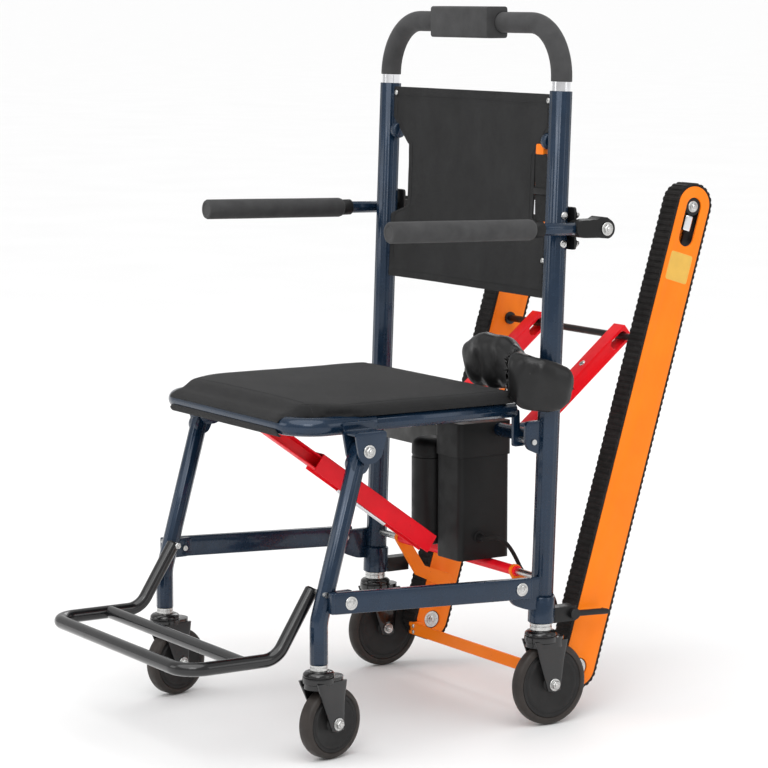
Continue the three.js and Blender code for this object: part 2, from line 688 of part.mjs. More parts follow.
function hingeFrame() {
  const arm = new THREE.Shape();
  arm.absarc(TRACK_HINGE.y, TRACK_HINGE.z, 9, 0.2 * Math.PI, 1.2 * Math.PI, false);
  arm.lineTo(250, 150);
  arm.lineTo(296, 132);
  arm.absarc(302, 140, 10, -0.6 * Math.PI, 0.5 * Math.PI, false);
  arm.lineTo(262, 164);
  const side = join(
    sidePlate(arm, 150, 156),
    pin(155, TRACK_X - TRACK_HALF - GAP, { y: 302, z: 140 }, 8),
  );
  return cut(
    join(pin(-160, 160, TRACK_HINGE, 7.6, 16), side, mirrored(side)),
    pin(146, 165, TRACK_HINGE, 5.4), pin(-165, -146, TRACK_HINGE, 5.4),
  );
}

const strutRod = () => {
  const inner = TRACK_X - TRACK_HALF - GAP;
  return pin(-inner, inner, STRUT_HIGH, STRUT_ROD_R, 12);
};

function strut() {
  const tilt = Math.atan2(STRUT_HIGH.z - STRUT_LOW.z, STRUT_HIGH.y - STRUT_LOW.y);
  const length = Math.hypot(STRUT_HIGH.z - STRUT_LOW.z, STRUT_HIGH.y - STRUT_LOW.y);
  const bar = cut(
    box(STRUT.x0, STRUT.x1, -11, length + 13, -STRUT.half, STRUT.half),
    pin(STRUT.x0 - 1, STRUT.x1 + 1, { y: 0, z: 0 }, 5.6),
    sidePlate(link({ y: length - STRUT.slot, z: 0 }, { y: length, z: 0 }, STRUT.slotR), STRUT.x0 - 1, STRUT.x1 + 1),
  );
  bar.rotateX(tilt);
  bar.translate(0, STRUT_LOW.y, STRUT_LOW.z);
  return bar;
}

// ---- assembly -----------------------------------------------------------------------------
add('main_frame', mainFrame(), NAVY);
add('handle_tube', bentRod(handleRoute(HANDLE_LOW), HANDLE_R), STEEL);
addPair('handle_grip', handleGrip(), FOAM);
add('control_box', controlBox(), BLACK_PLASTIC);
addPair('handle_lock_knob', lockKnob(), NAVY);
addPair('armrest_bracket', armBracket(), BLACK_STEEL);
addPair('armrest_tube', armTube(), NAVY);
addPair('armrest_pad', armPad(), FOAM);
add('backrest_sling', backrest(), CLOTH);
add('belt_pad', beltPad(), VINYL);
add('harness_strap', strapBundle(), STRAP);
add('seat_frame', seatFrame(), NAVY);
add('seat_pad', seatPad(), CLOTH);
addPair('seat_front_bolt', bolt(202, 241, SEAT_FRONT_PIVOT), STEEL);
add('brace_outer', braceOuter(), RED);
add('brace_inner', braceInner(), RED);
add('brace_rod', braceRod(), STEEL);
add('motor_plate', motorPlate(), BLACK_STEEL);
add('motor_housing', motorHousing(), BLACK_PLASTIC);
add('battery_box', batteryBox(), BLACK_PLASTIC);
add('battery_cap', batteryCap(), BLACK_PLASTIC);
add('battery_cable', batteryCable(), RUBBER);
addPair('front_leg', frontLeg(), NAVY);
addPair('lower_bar', lowerBar(), NAVY);
add('footrest', footrest(), BLACK_STEEL);
for (const [side, label] of [[1, 'left'], [-1, 'right']]) {
  addCaster('front', FRONT_CASTER, side, label);
  addCaster('rear', REAR_CASTER, side, label);
}
addPair('brake_pedal', brakePedal(), BLACK_STEEL);
addPair('track_core', trackCore(), ORANGE);
addPair('track_belt', trackBelt(), RUBBER);
addPair('tension_roller', tensionRoller(), STEEL);
addPair('drive_hub', driveHub(), STEEL);
add('track_cross_bar', trackCrossBar(), ORANGE);
add('track_hinge_frame', hingeFrame(), RED);
add('strut_rod', strutRod(), STEEL);
addPair('track_strut', strut(), RED);

export default group;
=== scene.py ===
"""The stair chair's looks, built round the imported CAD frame. Lengths in the code are millimetres."""
import math

import bmesh
import bpy
from mathutils import Matrix, Vector, noise
from mathutils.geometry import tessellate_polygon


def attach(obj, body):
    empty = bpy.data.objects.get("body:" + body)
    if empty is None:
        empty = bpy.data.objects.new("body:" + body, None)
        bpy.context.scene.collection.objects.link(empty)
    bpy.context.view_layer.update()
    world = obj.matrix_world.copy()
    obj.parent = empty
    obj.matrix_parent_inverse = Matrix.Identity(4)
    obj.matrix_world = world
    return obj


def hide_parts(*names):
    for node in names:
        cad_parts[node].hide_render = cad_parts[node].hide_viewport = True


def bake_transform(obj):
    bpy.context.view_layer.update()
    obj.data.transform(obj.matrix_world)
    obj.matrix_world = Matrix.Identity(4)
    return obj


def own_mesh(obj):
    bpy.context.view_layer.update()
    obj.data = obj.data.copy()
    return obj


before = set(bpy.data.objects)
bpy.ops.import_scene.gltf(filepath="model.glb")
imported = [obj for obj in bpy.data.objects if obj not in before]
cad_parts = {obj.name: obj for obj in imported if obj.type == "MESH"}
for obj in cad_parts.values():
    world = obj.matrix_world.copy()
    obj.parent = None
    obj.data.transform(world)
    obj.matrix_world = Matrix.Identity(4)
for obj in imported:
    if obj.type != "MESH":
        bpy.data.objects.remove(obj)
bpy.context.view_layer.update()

MM = 0.001
Y_MID = 84.0

X_AXIS, Y_AXIS, Z_AXIS = Vector((1, 0, 0)), Vector((0, 1, 0)), Vector((0, 0, 1))


def at(x, y, z):
    return Vector((x, y, z))


def in_frame(p):
    return Vector((p.x * MM, (p.y - Y_MID) * MM, p.z * MM))


# ---- camera
CAMERA_AT = at(3587.8, -2171.2, 1042.0)
CAMERA_AZIMUTH, CAMERA_ELEVATION = 57.747, 7.599
CAMERA_LENS = 138.2

scene = bpy.context.scene
camera_data = bpy.data.cameras.new("camera")
camera_data.lens = CAMERA_LENS
camera_data.sensor_width = 36
camera_data.clip_start, camera_data.clip_end = 0.1, 2000
camera = bpy.data.objects.new("camera", camera_data)
scene.collection.objects.link(camera)
camera.location = in_frame(CAMERA_AT)
camera.rotation_euler = (math.radians(90 - CAMERA_ELEVATION), 0, math.radians(CAMERA_AZIMUTH))
scene.camera = camera
scene.view_settings.view_transform = "Standard"


# ---- materials
class Look:
    """A principled material whose colour, roughness and bump come from procedural nodes."""

    def __init__(self, name, colour, rough, metal=0.0, coat=0.0, sheen=0.0, specular=0.5):
        self.material = bpy.data.materials.new(name)
        self.material.use_nodes = True
        self.tree = self.material.node_tree
        self.shader = self.tree.nodes["Principled BSDF"]
        self.colour = colour
        self.rough = rough
        self.set("Metallic", metal)
        self.set("Coat Weight", coat)
        self.set("Coat Roughness", 0.08)
        self.set("Sheen Weight", sheen)
        self.set("Sheen Roughness", 0.5)
        self.set("Specular IOR Level", specular)
        self.where = self.node("ShaderNodeTexCoord").outputs["Object"]
        self.normal = None

    def set(self, socket, value):
        self.shader.inputs[socket].default_value = value

    def node(self, kind, **settings):
        made = self.tree.nodes.new(kind)
        for key, value in settings.items():
            setattr(made, key, value)
        return made

    def join(self, source, target):
        self.tree.links.new(source, target)

    def stretched(self, scale):
        mapping = self.node("ShaderNodeMapping")
        mapping.inputs["Scale"].default_value = scale
        self.join(self.where, mapping.inputs["Vector"])
        return mapping.outputs["Vector"]

    def grain(self, scale, detail=3.0, where=None):
        made = self.node("ShaderNodeTexNoise")
        made.inputs["Scale"].default_value = scale
        made.inputs["Detail"].default_value = detail
        self.join(where or self.where, made.inputs["Vector"])
        return made.outputs["Fac"]

    def ramp(self, source, low, high, first, last):
        made = self.node("ShaderNodeMapRange")
        made.inputs["From Min"].default_value = low
        made.inputs["From Max"].default_value = high
        made.inputs["To Min"].default_value = first
        made.inputs["To Max"].default_value = last
        self.join(source, made.inputs["Value"])
        return made.outputs["Result"]

    def mix(self, factor, first, second):
        made = self.node("ShaderNodeMix", data_type="RGBA")
        self.join(factor, made.inputs["Factor"])
        for index, value in ((6, first), (7, second)):
            if isinstance(value, bpy.types.NodeSocket):
                self.join(value, made.inputs[index])
            else:
                made.inputs[index].default_value = (*value, 1)
        return made.outputs[2]

    def mottle(self, scale, amount, spots=None):
        darker = [c * (1 - amount) for c in self.colour]
        lighter = [min(1.0, c * (1 + amount)) for c in self.colour]
        out = self.mix(self.ramp(self.grain(scale), 0.3, 0.7, 0, 1), darker, lighter)
        if spots:
            spot_scale, tint, edge = spots
            out = self.mix(self.ramp(self.grain(spot_scale, 6), edge, edge + 0.06, 0, 1), out, tint)
        self.join(out, self.shader.inputs["Base Color"])
        return self

    def uneven(self, scale, spread):
        low, high = max(0.02, self.rough - spread), min(1.0, self.rough + spread)
        self.join(self.ramp(self.grain(scale, 4), 0.3, 0.7, low, high), self.shader.inputs["Roughness"])
        return self

    def bump(self, height, depth_mm):
        made = self.node("ShaderNodeBump")
        made.inputs["Strength"].default_value = 1.0
        made.inputs["Distance"].default_value = depth_mm * MM
        self.join(height, made.inputs["Height"])
        if self.normal:
            self.join(self.normal, made.inputs["Normal"])
        self.normal = made.outputs["Normal"]
        self.join(self.normal, self.shader.inputs["Normal"])
        return self

    def weave(self, pitch_mm, depth_mm):
        """Two crossing sets of threads: one along X, the other along Y and Z together."""
        apart = self.node("ShaderNodeSeparateXYZ")
        self.join(self.where, apart.inputs[0])
        total = self.node("ShaderNodeMath", operation="ADD")
        self.join(apart.outputs["Y"], total.inputs[0])
        self.join(apart.outputs["Z"], total.inputs[1])
        threads = []
        for source in (apart.outputs["X"], total.outputs[0]):
            turned = self.node("ShaderNodeMath", operation="MULTIPLY")
            turned.inputs[1].default_value = 2 * math.pi / (pitch_mm * MM)
            self.join(source, turned.inputs[0])
            wave = self.node("ShaderNodeMath", operation="SINE")
            self.join(turned.outputs[0], wave.inputs[0])
            threads.append(wave.outputs[0])
        crossed = self.node("ShaderNodeMath", operation="MULTIPLY")
        self.join(threads[0], crossed.inputs[0])
        self.join(threads[1], crossed.inputs[1])
        return self.bump(crossed.outputs[0], depth_mm)


def looks():
    made = {}
    look = Look("navy_paint", (0.006, 0.021, 0.047), 0.27, 0.35, coat=0.45, specular=0.35)
    look.mottle(25, 0.12, (160, (0.02, 0.045, 0.085), 0.72)).uneven(60, 0.07)
    made["navy"] = look.bump(look.grain(1400, 2), 0.02)
    look = Look("red_paint", (0.92, 0.006, 0.018), 0.4, coat=0.05, specular=0.22)
    look.mottle(30, 0.08, (220, (0.5, 0.004, 0.01), 0.73)).uneven(80, 0.08)
    made["red"] = look.bump(look.grain(900, 2), 0.03)
    look = Look("orange_paint", (1.0, 0.21, 0.004), 0.45, coat=0.04, specular=0.22)
    look.mottle(18, 0.06, (150, (0.62, 0.11, 0.006), 0.74)).uneven(50, 0.1)
    made["orange"] = look.bump(look.grain(700, 2), 0.03)
    look = Look("black_gloss", (0.006, 0.006, 0.0065), 0.22, 0.1, coat=0.5, specular=0.4)
    look.mottle(30, 0.25).uneven(70, 0.06)
    made["gloss"] = look.bump(look.grain(900, 2), 0.02)
    look = Look("black_satin", (0.008, 0.008, 0.0085), 0.42, specular=0.35)
    look.mottle(35, 0.25).uneven(70, 0.1)
    made["satin"] = look.bump(look.grain(1100, 2), 0.04)
    look = Look("moulded_plastic", (0.007, 0.007, 0.0073), 0.48, specular=0.28)
    look.mottle(30, 0.2).uneven(60, 0.08)
    made["plastic"] = look.bump(look.grain(1500, 4), 0.06)
    look = Look("grip_foam", (0.05, 0.05, 0.051), 0.9, sheen=0.08, specular=0.25)
    look.mottle(45, 0.15).uneven(200, 0.05)
    made["foam"] = look.bump(look.grain(1800, 4), 0.14).bump(look.grain(160, 3), 0.2)
    look = Look("seat_cloth", (0.017, 0.017, 0.0175), 0.88, sheen=0.07, specular=0.18)
    look.mottle(22, 0.16).uneven(150, 0.05)
    made["cloth"] = look.weave(1.1, 0.12).bump(look.grain(60, 4), 0.35)
    look = Look("belt_vinyl", (0.006, 0.006, 0.0063), 0.38, coat=0.08, specular=0.35)
    look.mottle(40, 0.25).uneven(90, 0.09)
    made["vinyl"] = look.bump(look.grain(700, 5), 0.1).bump(look.grain(70, 3), 0.35)
    look = Look("belt_rubber", (0.014, 0.0125, 0.012), 0.82, specular=0.25)
    look.mottle(60, 0.35, (320, (0.035, 0.031, 0.029), 0.66)).uneven(150, 0.1)
    made["rubber"] = look.bump(look.grain(600, 5), 0.25)
    look = Look("wheel_rubber", (0.030, 0.0245, 0.0215), 0.5, specular=0.32)
    look.mottle(50, 0.2, (260, (0.045, 0.038, 0.033), 0.7)).uneven(120, 0.1)
    made["tyre"] = look.bump(look.grain(900, 4), 0.08)
    look = Look("wheel_core", (0.013, 0.0125, 0.0125), 0.48, specular=0.3)
    look.mottle(50, 0.2).uneven(120, 0.08)
    made["core"] = look.bump(look.grain(900, 3), 0.05)
    look = Look("chrome", (0.78, 0.78, 0.80), 0.12, 1.0)
    look.mottle(40, 0.06).uneven(60, 0.05)
    made["chrome"] = look.bump(look.grain(500, 3, look.stretched((1, 1, 0.04))), 0.01)
    look = Look("zinc_bolt", (0.56, 0.56, 0.55), 0.3, 1.0)
    look.mottle(120, 0.15, (500, (0.3, 0.28, 0.24), 0.7)).uneven(200, 0.12)
    made["zinc"] = look.bump(look.grain(1500, 3), 0.03)
    look = Look("grey_steel", (0.05, 0.05, 0.049), 0.45, 0.6)
    look.mottle(35, 0.15).uneven(60, 0.1)
    made["grey"] = look.bump(look.grain(800, 3), 0.03)
    look = Look("webbing", (0.008, 0.008, 0.008), 0.85, sheen=0.08, specular=0.2)
    look.mottle(60, 0.25).uneven(160, 0.06)
    made["webbing"] = look.weave(1.6, 0.25)
    look = Look("thread", (0.035, 0.035, 0.036), 0.8, specular=0.2)
    look.mottle(300, 0.3).uneven(300, 0.08)
    made["thread"] = look.bump(look.grain(2500, 2), 0.05)
    look = Look("sticker", (0.72, 0.42, 0.06), 0.35, coat=0.1)
    look.mottle(60, 0.05).uneven(90, 0.06)
    made["sticker"] = look.bump(look.grain(500, 2), 0.01)
    return {key: value.material for key, value in made.items()}


LOOKS = looks()


# ---- outlines and paths
def arc(centre, radius, start, end, steps=12):
    """Points of an arc in a 2-D plane; the angles are in degrees."""
    turns = [math.radians(start + (end - start) * i / steps) for i in range(steps + 1)]
    return [(centre[0] + radius * math.cos(t), centre[1] + radius * math.sin(t)) for t in turns]


def circle(count):
    """The (cosine, sine) pairs of places spread round a circle."""
    turns = [2 * math.pi * i / count for i in range(count)]
    return [(math.cos(t), math.sin(t)) for t in turns]


def squarish(value, power):
    """A cosine or sine pushed outwards, which turns a circle into a rounded box."""
    return math.copysign(abs(value) ** power, value)


def link(a, b, radius, steps=14):
    """A bar with round ends between two places of a plane."""
    tilt = math.degrees(math.atan2(b[1] - a[1], b[0] - a[0]))
    return arc(a, radius, tilt + 90, tilt + 270, steps) + arc(b, radius, tilt - 90, tilt + 90, steps)


def soft(outline, radius, steps=5):
    """A closed outline with its corners rounded."""
    out = []
    count = len(outline)
    for i, corner in enumerate(outline):
        here = Vector(corner)
        before = Vector(outline[i - 1]) - here
        after = Vector(outline[(i + 1) % count]) - here
        cut = min(radius, before.length * 0.45, after.length * 0.45)
        start, end = here + before.normalized() * cut, here + after.normalized() * cut
        for k in range(steps + 1):
            t = k / steps
            p = start * (1 - t) ** 2 + here * (2 * t * (1 - t)) + end * t * t
            out.append((p.x, p.y))
    return out


def bend(points, radius, steps=10):
    """A route through points, with an arc at each corner."""
    route = [points[0]]
    for i in range(1, len(points) - 1):
        back = (points[i - 1] - points[i]).normalized()
        on = (points[i + 1] - points[i]).normalized()
        half = back.angle(on) / 2
        centre = points[i] + (back + on).normalized() * (radius / math.sin(half))
        start = points[i] + back * (radius / math.tan(half)) - centre
        end = points[i] + on * (radius / math.tan(half)) - centre
        axis = start.cross(end).normalized()
        sweep = start.angle(end)
        route += [centre + Matrix.Rotation(sweep * k / steps, 3, axis) @ start for k in range(steps + 1)]
    route.append(points[-1])
    return route


def frames(points):
    """(point, side, up) along a route, with no twist."""
    tangents = []
    for i, p in enumerate(points):
        arriving = (p - points[max(i - 1, 0)]).normalized()
        leaving = (points[min(i + 1, len(points) - 1)] - p).normalized()
        tangents.append((arriving + leaving).normalized())
    first = Z_AXIS if abs(tangents[0].z) < 0.9 else Y_AXIS
    side = tangents[0].cross(first).normalized()
    out = []
    for i, p in enumerate(points):
        if i:
            side = tangents[i - 1].rotation_difference(tangents[i]) @ side
        side = (side - tangents[i] * side.dot(tangents[i])).normalized()
        out.append((p, side, tangents[i].cross(side).normalized()))
    return out


# ---- mesh building
def round_ring(centre, side, up, radius, count, flutes=0, groove=0.0):
    """The points of a circle about a centre, with shallow grooves if asked."""
    ring = []
    for i, (c, v) in enumerate(circle(count)):
        dip = groove * (0.5 - 0.5 * math.cos(flutes * 2 * math.pi * i / count)) if flutes else 0.0
        ring.append(centre + side * ((radius - dip) * c) + up * ((radius - dip) * v))
    return ring


class Shell:
    """Collects closed shells of one material into one piece."""

    def __init__(self):
        self.bm = bmesh.new()

    def skin(self, rings, loop=False):
        rows = [[self.bm.verts.new(p) for p in ring] for ring in rings]
        pairs = list(zip(rows, rows[1:]))
        if loop:
            pairs.append((rows[-1], rows[0]))
        for a, b in pairs:
            for i in range(len(a)):
                j = (i + 1) % len(a)
                self.bm.faces.new((a[i], a[j], b[j], b[i]))
        if not loop:
            self.bm.faces.new(rows[0][::-1])
            self.bm.faces.new(rows[-1])
        return self

    def sweep(self, points, radius, sides=32, edge=0.8, flutes=0, groove=0.0):
        """A round bar along a route, with softened ends and, if asked, shallow grooves."""
        rows = frames(points)
        start = (points[1] - points[0]).normalized()
        end = (points[-1] - points[-2]).normalized()
        stations = [(rows[0][0], rows[0][1], rows[0][2], radius - edge)]
        stations.append((rows[0][0] + start * edge, rows[0][1], rows[0][2], radius))
        stations += [(p, s, u, radius) for p, s, u in rows[1:-1]]
        stations.append((rows[-1][0] - end * edge, rows[-1][1], rows[-1][2], radius))
        stations.append((rows[-1][0], rows[-1][1], rows[-1][2], radius - edge))
        rings = []
        for p, side, up, r in stations:
            rings.append(round_ring(p, side, up, r, sides, flutes, groove))
        return self.skin(rings)

    def lathe(self, profile, origin, axis, sides=40, loop=False, flutes=0, groove=0.0):
        """profile is (distance along the axis, radius) pairs."""
        axis = axis.normalized()
        side = axis.orthogonal().normalized()
        up = axis.cross(side)
        rings = []
        for along, radius in profile:
            centre = origin + axis * along
            rings.append(round_ring(centre, side, up, max(radius, 0.02), sides, flutes, groove))
        return self.skin(rings, loop)

    def prism(self, loops, origin, u, v, depth, bevel=0.8, segments=2):
        """Outlines in the plane of u and v (the first is the rim, the rest are holes), made depth thick."""
        part = bmesh.new()
        flat = [[Vector((a, b, 0)) for a, b in loop] for loop in loops]
        spots = [p for loop in flat for p in loop]
        front = [part.verts.new(origin + u * p.x + v * p.y) for p in spots]
        back = [part.verts.new(origin + u * p.x + v * p.y + depth) for p in spots]
        for a, b, c in tessellate_polygon(flat):
            part.faces.new((front[a], front[b], front[c]))
            part.faces.new((back[c], back[b], back[a]))
        base = 0
        for loop in flat:
            for i in range(len(loop)):
                j = (i + 1) % len(loop)
                part.faces.new((front[base + i], front[base + j], back[base + j], back[base + i]))
            base += len(loop)
        bmesh.ops.recalc_face_normals(part, faces=part.faces)
        if bevel:
            sharp = [e for e in part.edges if e.is_manifold and e.calc_face_angle() > math.radians(30)]
            bmesh.ops.bevel(part, geom=sharp, offset=bevel, offset_type="OFFSET", segments=segments,
                            profile=0.5, affect="EDGES", clamp_overlap=True)
        mesh = bpy.data.meshes.new("part")
        part.to_mesh(mesh)
        part.free()
        self.bm.from_mesh(mesh)
        bpy.data.meshes.remove(mesh)
        return self

    def side(self, loops, x0, x1, bevel=0.8, segments=2):
        """A plate drawn in Y and Z, between two X values."""
        return self.prism(loops, at(x0, 0, 0), Y_AXIS, Z_AXIS, at(x1 - x0, 0, 0), bevel, segments)

    def plan(self, loops, z0, z1, bevel=0.8, segments=2):
        """A plate drawn in X and Y, between two heights."""
        return self.prism(loops, at(0, 0, z0), X_AXIS, Y_AXIS, at(0, 0, z1 - z0), bevel, segments)

    def block(self, x0, x1, y0, y1, z0, z1, corner=3.0, bevel=1.0):
        outline = soft([(x0, y0), (x1, y0), (x1, y1), (x0, y1)], corner, 4)
        return self.plan([outline], z0, z1, bevel)

    def nut(self, place, axis, size=7.0, height=5.0, washer=True):
        """A hexagon head with a chamfer, on a washer, with the end of its screw."""
        axis = axis.normalized()
        foot = 0.0
        if washer:
            self.lathe([(0, size * 1.32), (1.0, size * 1.36), (1.4, size * 1.3)], place, axis, 28)
            foot = 1.3
        top = foot + height
        self.lathe([(foot, size), (foot + height * 0.75, size), (top, size * 0.86)], place, axis, 6)
        screw = [(foot, size * 0.5), (top + 1.2, size * 0.5), (top + 1.8, size * 0.4)]
        return self.lathe(screw, place, axis, 16)

    def dome(self, place, axis, radius=8.0, height=3.5):
        """A rivet or screw with a domed head and a small recess."""
        rise = [(0, radius), (height * 0.35, radius * 0.98), (height * 0.7, radius * 0.82),
                (height * 0.95, radius * 0.55), (height, radius * 0.34), (height * 0.55, radius * 0.3)]
        return self.lathe(rise, place, axis, 28)

    def make(self, name, look, body, *stands_for, angle=38):
        """Ends the piece; edges sharper than the angle stay sharp."""
        bmesh.ops.recalc_face_normals(self.bm, faces=self.bm.faces)
        mesh = bpy.data.meshes.new(name)
        for vert in self.bm.verts:
            vert.co = in_frame(vert.co)
        self.bm.to_mesh(mesh)
        self.bm.free()
        mesh.polygons.foreach_set("use_smooth", [True] * len(mesh.polygons))
        mesh.set_sharp_from_angle(angle=math.radians(angle))
        mesh.materials.append(LOOKS[look])
        obj = bpy.data.objects.new(name, mesh)
        scene.collection.objects.link(obj)
        return claim(obj, look, body, *stands_for)


def claim(obj, look, body, *stands_for):
    if body:
        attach(obj, body)
    if stands_for:
        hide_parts(*stands_for)
    return obj


def sides():
    return (("left", 1), ("right", -1))


def span(s, x0, x1):
    """Two X values for the person's left, or their mirror image."""
    return (s * x0, s * x1) if s > 0 else (s * x1, s * x0)


# ---- shared places of the chair
UPRIGHT_X = 222
LEAN = 0.0372


def upright_y(z):
    return 217 + LEAN * (z - 143)


def upright(z, x=UPRIGHT_X):
    return at(x, upright_y(z), z)


SEAT_FRONT_PIVOT, SEAT_REAR_PIVOT = (-82, 423), (200, 411)
BAR_FRONT_PIVOT, BAR_REAR_PIVOT = (-116, 219), (166, 207)
UP_THE_LEAN = at(0, LEAN, 1).normalized()


STRUT_LOW, STRUT_HIGH = (285, 414), (436, 536)
TRACK_HINGE, TRACK_FOOT = (219.6, 213), (302, 140)
CROSS_TUBE_Z = 412


def main_frame():
    for label, s in sides():
        post = upright(150, s * UPRIGHT_X)
        tall = (upright(903) - upright(150)).length
        wall = [(0, 15), (1, 16), (tall - 0.7, 16), (tall, 15.4), (tall, 13.9), (tall - 1, 13.5),
                (tall - 25, 13.5)]
        shell = Shell().lathe(wall, post, UP_THE_LEAN, 112, flutes=14, groove=0.45)
        shell.make(f"upright_{label}", "navy", "frame", *(["main_frame"] if s > 0 else []), angle=50)
        shell = Shell()
        shell.lathe([(0, 18), (1, 19), (36.5, 19), (38, 18.2), (38.4, 16.2)], post, UP_THE_LEAN, 56)
        y, z = SEAT_REAR_PIVOT
        ear = soft([(y - 12, 441), (y - 13, z - 2), (y - 7, z - 11), (216, 390), (226, 390), (226, 441)], 7)
        shell.side([ear], *span(s, 219, 225), 1.0)
        y, z = BAR_REAR_PIVOT
        low = soft([(218, 172), (219, 218), (y - 13, 218), (y - 13, 200), (y - 4, 182), (y + 22, 172)], 9)
        shell.side([low], *span(s, 226, 232), 1.0)
        tube = (upright_y(CROSS_TUBE_Z), CROSS_TUBE_Z)
        shell.side([link(tube, STRUT_LOW, 9.4)], *span(s, 120.2, 125.8), 1.0)
        shell.make(f"frame_brackets_{label}", "navy", "frame")
        pins = Shell()
        pins.lathe([(0, 4), (45, 4)], at(s * 183, *SEAT_REAR_PIVOT), X_AXIS * s, 20)
        pins.nut(at(s * 184.5, *SEAT_REAR_PIVOT), X_AXIS * -s, 6.5, 3.5, washer=False)
        pins.lathe([(0, 4.4), (1, 5), (30, 5)], at(s * 92, *STRUT_LOW), X_AXIS * s, 24)
        pins.lathe([(0, 4.6), (1, 5), (60, 5)], at(s * 148, *TRACK_HINGE), X_AXIS * s, 24)
        pins.make(f"frame_pins_{label}", "zinc", "frame")
        stop = Shell().block(*span(s, 212, 232), 232, 274, 148, 170, 5, 2)
        stop.make(f"brake_block_{label}", "satin", "frame")
    tube = Shell().sweep([upright(CROSS_TUBE_Z, -UPRIGHT_X), upright(CROSS_TUBE_Z)], 10, 32)
    tube.make("cross_tube", "navy", "frame")


# ---- push handle
HANDLE_TOP = 997
HANDLE_BEND = 78


def push_handle():
    corners = [upright(HANDLE_TOP, s * UPRIGHT_X) for s in (1, -1)]
    route = bend([upright(565), corners[0], corners[1], upright(565, -UPRIGHT_X)], HANDLE_BEND, 20)
    Shell().sweep(route, 13, 48).make("handle_bar", "chrome", "handle", "handle_tube")
    for label, s in sides():
        path = bend([upright(916, s * UPRIGHT_X), upright(HANDLE_TOP, s * UPRIGHT_X),
                     at(s * 73.3, upright_y(HANDLE_TOP), HANDLE_TOP)], HANDLE_BEND, 24)
        rings = []
        for i, (p, side, up) in enumerate(frames(path)):
            for radius, push in grip_steps(i, len(path)):
                rings.append(round_ring(p + side.cross(up) * push, side, up, radius, 48))
        shell = Shell().skin(rings)
        grip = shell.make(f"grip_{label}", "foam", "handle", f"handle_grip_{label}")
    y, z = upright_y(HANDLE_TOP), HANDLE_TOP
    outer = soft([(256.5, 1019.6), (220.2, 1019.6), (220.2, 974.4), (256.5, 974.4)], 5, 6)
    mouth = [(256.6, z - 15.6)] + arc((y + 0.5, z), 15.3, -90, -270, 16) + [(256.6, z + 15.6)]
    cut = next(i for i in range(len(outer)) if outer[i][0] > 256 and outer[(i + 1) % len(outer)][1] > 1015)
    block = outer[cut + 1:] + outer[:cut + 1]
    shell = Shell().side([block + mouth], -73, 73, 2.2, 3)
    pad = shell.make("handle_block", "plastic", "handle", "control_box")
    pad.data.materials[0] = LOOKS["foam"]


def grip_steps(index, count):
    """(radius, shift along the grip) of the rings at one place: its ends are rounded off."""
    if index == 0:
        return ((13.6, 0.0), (14.6, 0.2), (15, 1.2))
    if index == count - 1:
        return ((15, -1.2), (14.6, -0.2), (13.6, 0.0))
    return ((15, 0.0),)


def lock_knobs():
    for label, s in sides():
        y, z = upright_y(832), 832
        outline = [(0, 9.5), (1.2, 11.2), (3, 12), (9, 12), (11, 11.2), (12, 9), (12.2, 5), (14.6, 5)]
        shell = Shell().lathe(outline, at(s * 191, y, z), X_AXIS * s, 96, flutes=24, groove=0.5)
        shell.make(f"knob_{label}", "navy", f"knob_{label}", f"handle_lock_knob_{label}", angle=50)


# ---- armrests
ARM_X = 253.6
ARM_PIVOT = (295, 711)


def arm_at(y, x):
    """A place on the line of an arm, which rises a little to the front."""
    return at(x, y, ARM_PIVOT[1] + 9 * (ARM_PIVOT[0] - y) / 355)


def armrests():
    for label, s in sides():
        shell = Shell()
        plate = soft([(s * 205, 681), (s * 239, 681), (s * 239, 741), (s * 205, 741)], 5)
        shell.prism([plate], at(0, 257.8, 0), X_AXIS, Z_AXIS, at(0, 3.6, 0), 0.9)
        shell.side([link((275, 711), ARM_PIVOT, 12.6)], *span(s, 226.5, 237.5), 1.5)
        shell.make(f"arm_bracket_{label}", "satin", "frame", f"armrest_bracket_{label}")
        shell = Shell()
        for z in (730, 690):
            shell.nut(at(s * 234, 262, z), Y_AXIS, 4.6, 4)
            shell.dome(at(s * 238.2, upright_y(z) + 2, z), X_AXIS * s, 5.5, 3)
        shell.nut(at(s * 266, *ARM_PIVOT), X_AXIS * s, 7, 4)
        shell.make(f"arm_bolts_{label}", "zinc", "frame")
        shell = Shell()
        hook = [(258, 699.6), (282, 698.8)] + arc(ARM_PIVOT, 14, -80, 60, 14)
        hook += [(296, 727), (286, 728.5), (278, 724.5), (258, 724.2)] + arc((256, 712), 12.4, 85, 275, 10)
        shell.side([hook], *span(s, 241.4, 265.4), 3.0, 3)
        shell.lathe([(0, 10.8), (1.5, 11.8), (14, 11.8), (15, 10.5)], arm_at(176.5, s * ARM_X), Y_AXIS, 36)
        shell.make(f"arm_socket_{label}", "plastic", f"armrest_{label}", f"armrest_tube_{label}")
        bar = [arm_at(174, s * ARM_X), arm_at(262, s * ARM_X)]
        shell = Shell().sweep(bar, 9, 80, flutes=10, groove=0.4)
        shell.make(f"arm_tube_{label}", "navy", f"armrest_{label}", angle=50)
        front, back = arm_at(-60, s * ARM_X), arm_at(176, s * ARM_X)
        length = (back - front).length
        profile = [(1.2, 8.6), (0.4, 9.6), (0, 11), (0.8, 13.6), (3, 14.7), (length * 0.3, 14.8),
                   (length * 0.65, 14.6), (length - 6, 14.6), (length - 2, 13.4), (length, 11.5),
                   (length, 9.8)]
        shell = Shell().lathe(profile, front, back - front, 48)
        pad = shell.make(f"arm_pad_{label}", "foam", f"armrest_{label}", f"armrest_pad_{label}")


# ---- cloth back
BACK_HALF, BACK_WAIST = 205.3, 164


